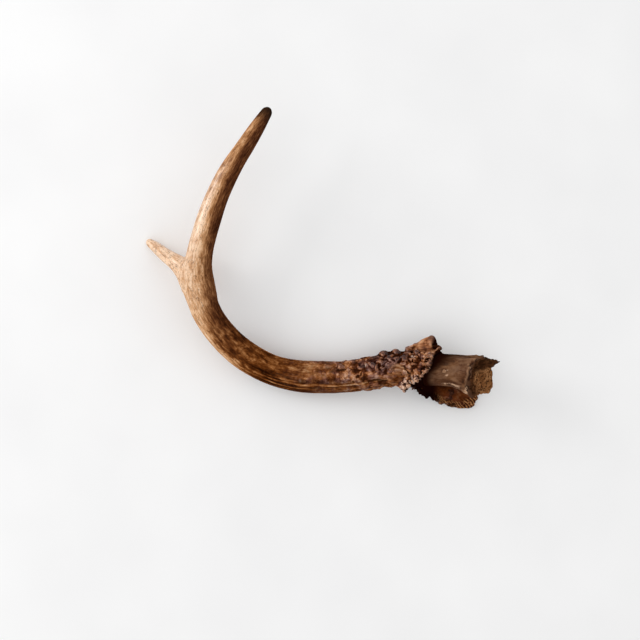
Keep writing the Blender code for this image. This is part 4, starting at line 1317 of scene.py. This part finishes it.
# ---- colours: linear red, green and blue ----
# A scale of tones goes from its darkest to its palest, each with its place from 0 to 1.
LOWER_TONES = (  # of the beam near the burr
    (0.0, (0.018, 0.0036, 0.0005)),
    (0.2, (0.066, 0.0145, 0.0014)),
    (0.4, (0.165, 0.0450, 0.0060)),
    (0.6, (0.360, 0.1430, 0.0430)),
    (0.8, (0.600, 0.3250, 0.1500)),
    (1.0, (0.860, 0.5900, 0.3800)),
)
UPPER_TONES = (  # of the fork and the tips
    (0.0, (0.022, 0.0070, 0.0030)),
    (0.2, (0.070, 0.0215, 0.0085)),
    (0.4, (0.162, 0.0600, 0.0220)),
    (0.6, (0.345, 0.1550, 0.0620)),
    (0.8, (0.600, 0.3250, 0.1620)),
    (1.0, (0.870, 0.6000, 0.3950)),
)
KNOB_ORANGE = (
    (0.0, (0.017, 0.0032, 0.0007)),
    (0.3, (0.100, 0.0255, 0.0070)),
    (0.55, (0.310, 0.1120, 0.0380)),
    (0.8, (0.600, 0.2950, 0.1450)),
    (1.0, (0.860, 0.5600, 0.3900)),
)
KNOB_PURPLE = (
    (0.0, (0.013, 0.0040, 0.0030)),
    (0.3, (0.064, 0.0200, 0.0125)),
    (0.6, (0.205, 0.0820, 0.0540)),
    (1.0, (0.540, 0.3200, 0.2400)),
)
SPIKE_TONES = (
    (0.35, (0.12, 0.038, 0.016)),
    (0.50, (0.37, 0.145, 0.062)),
    (0.65, (0.62, 0.320, 0.165)),
)
WALL_TONES = (  # of the bone's outside
    (0.0, (0.034, 0.0105, 0.0035)),
    (0.5, (0.088, 0.032, 0.0125)),
    (1.0, (0.240, 0.115, 0.0520)),
)
FACE_TONES = (  # of its broken face
    (0.0, (0.085, 0.029, 0.009)),
    (0.5, (0.235, 0.096, 0.034)),
    (1.0, (0.450, 0.230, 0.100)),
)
TABLE_TONES = (
    (0.3, (0.88, 0.88, 0.882)),
    (0.7, (0.92, 0.92, 0.92)),
)
VEIN = (0.060, 0.018, 0.005)
PIT = (0.12, 0.044, 0.015)
# soil with painted occlusion shade in the hollows
SOIL = (0.017, 0.0036, 0.0010)
# pale worn streaks, partly painted highlights
SCUFF = (0.92, 0.68, 0.54)
TIP = (0.014, 0.009, 0.006)
# painted highlight on the worn tops of the burr's teeth
WORN_TOOTH = (0.90, 0.56, 0.38)
RIPPLE_GROOVE = (0.19, 0.068, 0.022)
RIPPLE_TOP = (0.46, 0.25, 0.13)
SPIKE_TOP = (0.085, 0.030, 0.018)
CUP_DARK = (0.050, 0.0105, 0.0018)
CUP_PALE = (0.145, 0.0320, 0.0055)
# painted shade under the bone and in the burr's dark folds
CUP_SHADE = (0.008, 0.0012, 0.0008)
# painted light on the rib tops, and painted shade in their gaps
RIB_TOP = (0.56, 0.260, 0.100)
RIB_GAP = (0.009, 0.0018, 0.0007)
BONE_PALE = (0.210, 0.110, 0.060)
BONE_DARK = (0.036, 0.0140, 0.0075)
BONE_WORN = (0.36, 0.20, 0.11)
# pale worn streaks, partly painted highlights
BONE_SCUFF = (0.66, 0.42, 0.27)
# stain and painted shadow on the bone next to the burr
BONE_BY_BURR = (0.012, 0.0025, 0.0010)
BONE_PORE = (0.032, 0.011, 0.004)
BONE_CRUST = (0.040, 0.0135, 0.0055)
# soil with painted occlusion shade in the hollows
BONE_SOIL = (0.014, 0.005, 0.002)

# ---- patterns: widths, lengths and spacings in metres ----
ANTLER_FIBRES = {  # the width, length and detail of each
    "fine": (0.0006, 0.007, 3.0),
    "broad": (0.0021, 0.018, 3.0),
    "patch": (0.006, 0.012, 4.0),
    "fleck": (0.0012, 0.0050, 1.5),
    "streak": (0.0015, 0.055, 1.5),
    "crumb": (0.0026, 0.0026, 3.0),
    "blotch": (0.009, 0.009, 2.0),
    "mottle": (0.0055, 0.0075, 1.0),
    "stain": (0.0042, 0.0085, 4.0),
    "winding": (0.0024, 0.0070, 2.0),
}
BONE_FINE = (0.0006, 0.008, 2.0)
BONE_PATCH = (0.006, 0.014, 4.0)
BONE_WIDE = (0.009, 0.013, 2.0)
ANTLER_PITS = {"Spacing": 0.0042, "Size": 0.16, "Stretch": 0.45}
BONE_PORES = {"Spacing": 0.0021, "Size": 0.52, "Stretch": 1.0}
ANTLER_GRIME_REACH = 0.5  # how far a place stands out, in millimetres, to be wholly worn
BONE_GRIME_REACH = 0.3
UPPER_END = (0.27, 0.17)  # along the beam from its tip, where the upper tones come in
BURR_SHADE = (0.348, 0.378)  # where the painted shade on the beam's upper inner side deepens towards the burr
TIP_END = (0.020, 0.003)
RIB_WANDER = (12.0, 7.0)  # how far blotches and crumbs push the ribs out of step
BUMP_DEPTH = 0.0006


# ---- materials ----

class Value:
    """A number that changes over the surface. Sums, products and ranges of it are nodes too."""

    def __init__(self, nodes, socket):
        self.nodes = nodes
        self.socket = socket

    def __add__(self, other):
        return self.nodes.math("ADD", self, other)

    def __sub__(self, other):
        return self.nodes.math("SUBTRACT", self, other)

    def __rsub__(self, other):
        return self.nodes.math("SUBTRACT", other, self)

    def __mul__(self, other):
        return self.nodes.math("MULTIPLY", self, other)

    def __truediv__(self, other):
        return self.nodes.math("DIVIDE", self, other)

    def __rtruediv__(self, other):
        return self.nodes.math("DIVIDE", other, self)

    def larger(self, other):
        return self.nodes.math("MAXIMUM", self, other)

    def spread(self, amount):
        """How far it is from a half, times an amount."""
        return (self - 0.5) * amount

    def range(self, low, high, to_low=0.0, to_high=1.0):
        """Eased from one range to another, and held at its ends."""
        node = self.nodes.add("ShaderNodeMapRange", {
            "Value": self, "From Min": low, "From Max": high, "To Min": to_low, "To Max": to_high
        }, interpolation_type="SMOOTHSTEP")
        return Value(self.nodes, node.outputs["Result"])


class Nodes:
    """Short ways to add nodes to one tree."""

    def __init__(self, tree):
        self.tree = tree

    def add(self, kind, inputs=(), **settings):
        node = self.tree.nodes.new(kind)
        for name, value in settings.items():
            setattr(node, name, value)
        for key, value in dict(inputs).items():
            self.put(node.inputs[key], value)
        return node

    def put(self, socket, value):
        """Feed a socket from another, or set it to a number or a colour."""
        if isinstance(value, Value):
            value = value.socket
        if isinstance(value, bpy.types.NodeSocket):
            self.tree.links.new(value, socket)
        else:
            socket.default_value = (*value, 1.0) if socket.type == "RGBA" else value

    def value(self, name):
        """A number kept on the vertices."""
        return Value(self, self.add("ShaderNodeAttribute", attribute_name=name).outputs["Fac"])

    def vector(self, name):
        return self.add("ShaderNodeAttribute", attribute_name=name).outputs["Vector"]

    def separate(self, vector):
        """The three numbers of a vector."""
        return [Value(self, out) for out in self.add("ShaderNodeSeparateXYZ", {0: vector}).outputs]

    def math(self, operation, a, b=0.0):
        return Value(self, self.add("ShaderNodeMath", {0: a, 1: b}, operation=operation).outputs[0])

    def mix(self, factor, a, b):
        """Between two colours."""
        return self.add("ShaderNodeMix", {0: factor, 6: a, 7: b}, data_type="RGBA").outputs[2]

    def painted(self, colour, *coats):
        """A colour with others laid over it, each through its own mask."""
        for mask, coat in coats:
            colour = self.mix(mask, colour, coat)
        return colour

    def mix_value(self, factor, a, b):
        node = self.add("ShaderNodeMix", {0: factor, 2: a, 3: b}, data_type="FLOAT")
        return Value(self, node.outputs[0])

    def ramp(self, value, tones):
        """A colour from a scale of tones."""
        node = self.add("ShaderNodeValToRGB", {"Fac": value})
        while len(node.color_ramp.elements) < len(tones):
            node.color_ramp.elements.new(0.5)
        for element, (position, colour) in zip(node.color_ramp.elements, tones):
            element.position = position
            element.color = (*colour, 1.0)
        return node.outputs["Color"]

    def group(self, tree, inputs):
        """The outputs of a node group that is filled in with these inputs."""
        outputs = self.add("ShaderNodeGroup", inputs, node_tree=tree).outputs
        return [Value(self, output) for output in outputs]

    def fibre(self, fibres, vector, width, length, detail):
        inputs = {"Vector": vector, "Width": width, "Length": length, "Detail": detail}
        return self.group(fibres, inputs)[0]

    def dirt_and_wear(self, grime, vector, reach):
        inputs = {"Hollow": self.value("hollow"), "Deep": self.value("deep"),
                  "Vector": vector, "Reach": reach}
        return self.group(grime, inputs)

    def bump(self, height, strength):
        inputs = {"Height": height, "Strength": strength, "Distance": BUMP_DEPTH}
        return self.add("ShaderNodeBump", inputs).outputs[0]


def new_group(name, inputs, output_names):
    """An empty node group with named sockets, and its way in and out. The inputs are numbers,
    each with its usual value, after the vector."""
    tree = bpy.data.node_groups.new(name, "ShaderNodeTree")
    tree.interface.new_socket("Vector", in_out="INPUT", socket_type="NodeSocketVector")
    for socket, usual in inputs.items():
        made = tree.interface.new_socket(socket, in_out="INPUT", socket_type="NodeSocketFloat")
        made.default_value = usual
    for socket in output_names:
        tree.interface.new_socket(socket, in_out="OUTPUT", socket_type="NodeSocketFloat")
    nodes = Nodes(tree)
    way_in = {socket.name: Value(nodes, socket) for socket in nodes.add("NodeGroupInput").outputs}
    way_out = nodes.add("NodeGroupOutput").inputs
    return tree, nodes, way_in, way_out


def stretched(nodes, vector, stretch):
    """A vector whose last axis, the one along the limb, is multiplied."""
    factors = nodes.add("ShaderNodeCombineXYZ", {0: 1.0, 1: 1.0, 2: stretch}).outputs[0]
    return nodes.add("ShaderNodeVectorMath", {0: vector, 1: factors}, operation="MULTIPLY").outputs[0]


def fibre_group():
    """Fine fibres that run along a limb."""
    tree, nodes, way_in, way_out = new_group(
        "Fibres along the limb", {"Width": 0.001, "Length": 0.01, "Detail": 2.0}, ["Value"])
    texture = nodes.add("ShaderNodeTexNoise", {
        "Vector": stretched(nodes, way_in["Vector"], way_in["Width"] / way_in["Length"]),
        "Scale": 1.0 / way_in["Width"], "Detail": way_in["Detail"], "Roughness": 0.55, "Distortion": 0.45
    })
    nodes.put(way_out["Value"], texture.outputs["Fac"])
    return tree


def speck_group():
    """Scattered long specks, such as the mouths of blood vessels."""
    tree, nodes, way_in, way_out = new_group(
        "Specks", {"Spacing": 0.004, "Size": 0.2, "Stretch": 0.4}, ["Mask"])
    cells = nodes.add("ShaderNodeTexVoronoi", {
        "Vector": stretched(nodes, way_in["Vector"], way_in["Stretch"]),
        "Scale": 1.0 / way_in["Spacing"]
    }).outputs
    pick = nodes.add("ShaderNodeSeparateColor", {0: cells["Color"]}).outputs[0]
    gap = Value(nodes, cells["Distance"]) - way_in["Size"] * pick
    nodes.put(way_out["Mask"], gap.range(0.06, -0.02))
    return tree


def grime_group():
    """Dirt with painted shade in the hollows, and worn tops, from how far the surface stands out."""
    tree, nodes, way_in, way_out = new_group(
        "Grime and wear", {"Hollow": 0.0, "Deep": 0.0, "Reach": 0.3}, ["Dirt", "Worn"])
    grain = nodes.add("ShaderNodeTexNoise", {
        "Vector": way_in["Vector"], "Scale": 600.0, "Detail": 3.0
    }).outputs["Fac"]
    stand = way_in["Hollow"] + way_in["Deep"] * 0.35 + Value(nodes, grain).spread(way_in["Reach"])
    depth = stand / way_in["Reach"]
    nodes.put(way_out["Dirt"], depth.range(0.05, -0.8))
    nodes.put(way_out["Worn"], depth.range(0.0, 1.2))
    return tree


def new_material(name, even):
    """A material, its nodes and its shader's sockets, of which some have the same value all over."""
    material = bpy.data.materials.new(name)
    material.use_nodes = True
    sockets = material.node_tree.nodes["Principled BSDF"].inputs
    for socket, value in even.items():
        sockets[socket].default_value = value
    return material, Nodes(material.node_tree), sockets


class AntlerPatterns:
    """The patterns that the antler's colour, gloss and bump share."""

    def __init__(self, nodes, fibres, specks, grime):
        self.nodes = nodes
        self.unbent, self.tine_unbent = nodes.vector("unbent"), nodes.vector("tine_unbent")
        self.tine_share = nodes.value("tine_share")
        self.along = nodes.separate(self.unbent)[2]
        for name, sizes in ANTLER_FIBRES.items():
            setattr(self, name, self.on_both(nodes.fibre, fibres, sizes))
        pits = [nodes.group(specks, {"Vector": vector, **ANTLER_PITS})[0]
                for vector in (self.unbent, self.tine_unbent)]
        self.pits = nodes.mix_value(self.tine_share, *pits)
        # dirt with painted shade in the hollows
        self.dirt, self.worn = nodes.dirt_and_wear(grime, self.unbent, ANTLER_GRIME_REACH)
        self.knobby, self.cup = nodes.value("knobby"), nodes.value("cup")
        # painted shade under the bone and in the burr's dark folds
        self.dark = nodes.value("under_bone").larger(nodes.value("shaded"))
        self.streaks = self.streak.spread(1.9) * nodes.value("ridged")
        self.rib_top, self.rib_gap = self.ribs()

    def on_both(self, pattern, group, sizes):
        """A pattern that runs along the beam, and along the tine where that starts."""
        on_beam = pattern(group, self.unbent, *sizes)
        on_tine = pattern(group, self.tine_unbent, *sizes)
        return self.nodes.mix_value(self.tine_share, on_beam, on_tine)

    def ribs(self):
        """The tops of the fine ribs across the burr's rim, and the gaps between them: painted light on
        the tops and painted shade in the gaps.
        """
        turn = self.nodes.value("rim_length") * (FULL_TURN / RIB_SPACING)
        turn = turn + self.blotch.spread(RIB_WANDER[0]) + self.crumb.spread(RIB_WANDER[1])
        wave = self.nodes.math("SINE", turn)
        ribbed = self.nodes.value("ribbed")
        top = wave.range(0.0, 0.9) * ribbed * self.crumb.range(0.35, 0.55, 0.3, 1.0)
        gap = wave.range(0.0, -0.8) * ribbed * self.fleck.range(0.35, 0.52, 0.3, 0.95)
        return top, gap


def beam_colour(look):
    """Brown to bleached, with flecks, streaks and stains along the grain, and winding veins."""
    nodes = look.nodes
    pale, mottled = nodes.value("pale"), nodes.value("mottled")
    drift = look.patch.spread(0.65) + look.broad.spread(0.65) + look.fine.spread(0.55)
    drift = drift + look.fleck.spread(0.5)
    drift = drift * pale.range(0.9, 0.6, 0.85, 1.0) * nodes.mix_value(mottled, 1.0, 0.6)
    tone = pale + drift + look.stain.spread(1.5) * mottled + look.streaks
    upper = look.along.range(*UPPER_END, 0.2, 1.0)
    colour = nodes.mix(upper, nodes.ramp(tone, LOWER_TONES), nodes.ramp(tone, UPPER_TONES))
    vein = nodes.math("ABSOLUTE", look.winding - 0.5).range(0.045, 0.008)
    return nodes.mix(vein * look.crumb.range(0.40, 0.56) * 0.56, colour, VEIN)


def knob_colour(look):
    """Orange and purple-brown knobs with painted inner shade, painted highlights on the burr's worn
    teeth, and the curved ridges before it.
    """
    nodes = look.nodes
    deep = nodes.value("deep")
    tone = look.crumb.spread(1.3) + 0.42 + look.blotch.spread(1.1) + look.worn * 0.28
    tone = tone - deep.range(0.8, 2.0, 0.0, 0.16)
    # Painted shade on the beam's upper inner side near the burr.
    tone = tone - nodes.value("upper_inner") * look.along.range(*BURR_SHADE, 0.10, 0.24)
    purple = look.mottle.range(0.46, 0.60).larger(deep.range(0.5, 1.5, 0.0, 0.8))
    colour = nodes.mix(purple, nodes.ramp(tone, KNOB_ORANGE), nodes.ramp(tone, KNOB_PURPLE))
    # Painted highlights on the worn tops of the burr's teeth.
    teeth = nodes.value("teeth") * look.worn.range(0.25, 0.70) * look.crumb.range(0.42, 0.56)
    colour = nodes.mix(teeth * 0.9, colour, WORN_TOOTH)
    ripple = nodes.mix(nodes.value("ripple_crest"), RIPPLE_GROOVE, RIPPLE_TOP)
    return nodes.mix(nodes.value("rippled") * look.crumb.range(0.3, 0.5, 0.5, 0.85), colour, ripple)


def with_burr(look, colour):
    """The burr's spike, its cup with painted shade, and its rim's ribs, painted lit on top and shaded
    between.
    """
    nodes = look.nodes
    spike = nodes.ramp(look.blotch + look.broad.spread(0.8), SPIKE_TONES)
    return nodes.painted(
        colour,
        (nodes.value("spike") * 0.85, nodes.mix(nodes.value("spike_top"), spike, SPIKE_TOP)),
        (look.cup * 0.85, nodes.mix(look.blotch, CUP_DARK, CUP_PALE)),
        # painted light on the rib tops and painted shade in their gaps
        (look.rib_top * 0.85, RIB_TOP),
        (look.rib_gap, RIB_GAP),
        (look.dark, CUP_SHADE),
    )


def with_wear(look, colour):
    """Pits, soil with painted shade in the hollows, pale streaks partly painted highlights, and the
    black tip of the beam.
    """
    nodes = look.nodes
    return nodes.painted(
        colour,
        (look.pits * 0.35, PIT),
        # soil with painted shade in the hollows
        (look.dirt * nodes.mix_value(look.cup, 0.8, 0.25), SOIL),
        # pale worn streaks, partly painted highlights
        (nodes.value("scuff") * 0.95, SCUFF),
        ((look.along + look.stain.spread(0.012)).range(*TIP_END) * 0.85, TIP),
    )


def antler_material(fibres, specks, grime):
    """Brown antler, pale outside and dark inside from bleaching and painted light and shade, with soil
    and painted shade in its hollows, worn on its knobs.
    """
    material, nodes, sockets = new_material("Weathered antler", {
        "Specular IOR Level": 0.0, "Coat Roughness": 0.25, "Coat IOR": 1.7
    })
    look = AntlerPatterns(nodes, fibres, specks, grime)
    colour = nodes.mix(look.knobby, beam_colour(look), knob_colour(look))
    nodes.put(sockets["Base Color"], with_wear(look, with_burr(look, colour)))
    nodes.put(sockets["Roughness"], nodes.mix_value(look.dirt, 0.34, 0.8) + look.fine.spread(0.3))
    polish = nodes.value("polished") * look.patch.range(0.25, 0.5, 0.5, 1.0)
    knob_shine = look.worn * look.knobby * 0.45 * (1.0 - look.cup.larger(look.dark))
    nodes.put(sockets["Coat Weight"], polish.larger(knob_shine))
    height = look.fine * 0.5 + look.broad * 0.7 + look.streaks + look.crumb * look.knobby * 2.0
    height = height + look.rib_top - look.rib_gap - look.pits * 0.25
    nodes.put(sockets["Normal"], nodes.bump(height, 0.6))
    return material


def bone_material(fibres, specks, grime):
    """Satin brown bone, darker by the burr from stain and painted shadow, with an ochre spongy break
    inside a dark crust.
    """
    material, nodes, sockets = new_material("Old skull bone", {
        "Specular IOR Level": 0.0, "Coat Roughness": 0.36
    })
    unbent = nodes.vector("unbent")
    broken, by_burr = nodes.value("broken"), nodes.value("by_burr")
    fine = nodes.fibre(fibres, unbent, *BONE_FINE)
    patch = nodes.fibre(fibres, unbent, *BONE_PATCH)
    wide = nodes.fibre(fibres, unbent, *BONE_WIDE)
    pores = nodes.group(specks, {"Vector": unbent, **BONE_PORES})[0]
    dirt, worn = nodes.dirt_and_wear(grime, unbent, BONE_GRIME_REACH)

    tone = patch.spread(1.6) + fine.spread(0.7) + 0.5
    wall = nodes.painted(
        nodes.ramp(tone, WALL_TONES),
        (wide.range(0.48, 0.66, 0.0, 0.55), BONE_PALE),
        (wide.range(0.47, 0.32, 0.0, 0.75), BONE_DARK),
        (worn * 0.5, BONE_WORN),
        # pale worn streaks, partly painted highlights
        (nodes.value("scuff"), BONE_SCUFF),
        # stain and painted shadow next to the burr
        (by_burr, BONE_BY_BURR),
    )
    colour = nodes.painted(
        wall,
        (broken, nodes.mix(pores * 0.85, nodes.ramp(tone, FACE_TONES), BONE_PORE)),
        (nodes.value("crust") * 0.85, BONE_CRUST),
        # soil with painted shade in the hollows
        (dirt * nodes.mix_value(broken, 0.85, 0.5), BONE_SOIL),
    )
    nodes.put(sockets["Base Color"], colour)
    nodes.put(sockets["Roughness"], nodes.mix_value(broken, 0.42, 0.8))
    nodes.put(sockets["Coat Weight"], (1.0 - by_burr.larger(broken)) * 0.10)
    nodes.put(sockets["Normal"], nodes.bump(fine * 0.3 - pores * broken * 0.8, 0.5))
    return material


def table_material():
    material, nodes, sockets = new_material("Pale table", {"Roughness": 0.7})
    place = nodes.add("ShaderNodeTexCoord").outputs["Object"]
    soft = nodes.add("ShaderNodeTexNoise", {"Vector": place, "Scale": 9.0, "Detail": 2.0}).outputs["Fac"]
    nodes.put(sockets["Base Color"], nodes.ramp(soft, TABLE_TONES))
    return material


# ---- camera, table and light ----

CAMERA_HEIGHT = 1.360
CAMERA_Y = -0.05175
CAMERA_LENS = 85.0
SENSOR = 36.0
TABLE_REACH = 12.0
SKY_LOW = (0.45, 0.85)  # how bright the surroundings are low down, on the right and on the left
SKY_SIDES = (0.9, -0.9)  # how far to the right, and to the left, the low change goes
SKY_TOP = 0.93  # and overhead
SKY_EDGE = (0.2, 0.6)  # how high the change between the two starts and ends


def make_camera():
    camera = bpy.data.objects.new("camera", bpy.data.cameras.new("camera"))
    camera.data.lens = CAMERA_LENS
    camera.data.sensor_width = SENSOR
    camera.location = (0.0, CAMERA_Y, CAMERA_HEIGHT)
    bpy.context.scene.collection.objects.link(camera)
    bpy.context.scene.camera = camera


def make_table():
    mesh = bmesh.new()
    bmesh.ops.create_grid(mesh, x_segments=4, y_segments=4, size=TABLE_REACH)
    table = bpy.data.objects.new("table", bpy.data.meshes.new("table"))
    mesh.to_mesh(table.data)
    mesh.free()
    table.data.materials.append(table_material())
    bpy.context.scene.collection.objects.link(table)


def area_light(name, azimuth, elevation, away, size, power):
    """A soft square light that shines at the antler; azimuth 0 is +X and 90 is +Y."""
    light = bpy.data.lights.new(name, "AREA")
    light.shape = "SQUARE"
    light.size = size
    light.energy = power
    obj = bpy.data.objects.new(name, light)
    turn, rise = math.radians(azimuth), math.radians(elevation)
    way = Vector((math.cos(turn) * math.cos(rise), math.sin(turn) * math.cos(rise), math.sin(rise)))
    obj.location = way * away
    obj.rotation_euler = way.to_track_quat("Z", "Y").to_euler()
    bpy.context.scene.collection.objects.link(obj)


def make_light():
    """A large window on the left, and even light from low down all round."""
    area_light("window", azimuth=160, elevation=25, away=2.0, size=0.9, power=12.5)
    world = bpy.data.worlds.new("studio")
    bpy.context.scene.world = world
    world.use_nodes = True
    nodes = Nodes(world.node_tree)
    towards = nodes.add("ShaderNodeTexCoord").outputs["Generated"]
    x, _, z = nodes.separate(towards)
    sky = nodes.mix_value(z.range(*SKY_EDGE), x.range(*SKY_SIDES, *SKY_LOW), SKY_TOP)
    background = world.node_tree.nodes["Background"].inputs
    nodes.put(background["Strength"], sky)
    nodes.put(background["Color"], (1.0, 1.0, 1.0))
    bpy.context.scene.view_settings.view_transform = "Standard"


# ---- the scene ----

def main():
    fibres, specks, grime = fibre_group(), speck_group(), grime_group()
    antler = make_antler(antler_material(fibres, specks, grime))
    bone = make_bone(bone_material(fibres, specks, grime))
    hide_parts("main_beam", "tine")
    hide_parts("pedicle")
    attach(antler, "root")
    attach(bone, "root")
    make_table()
    make_camera()
    make_light()


main()
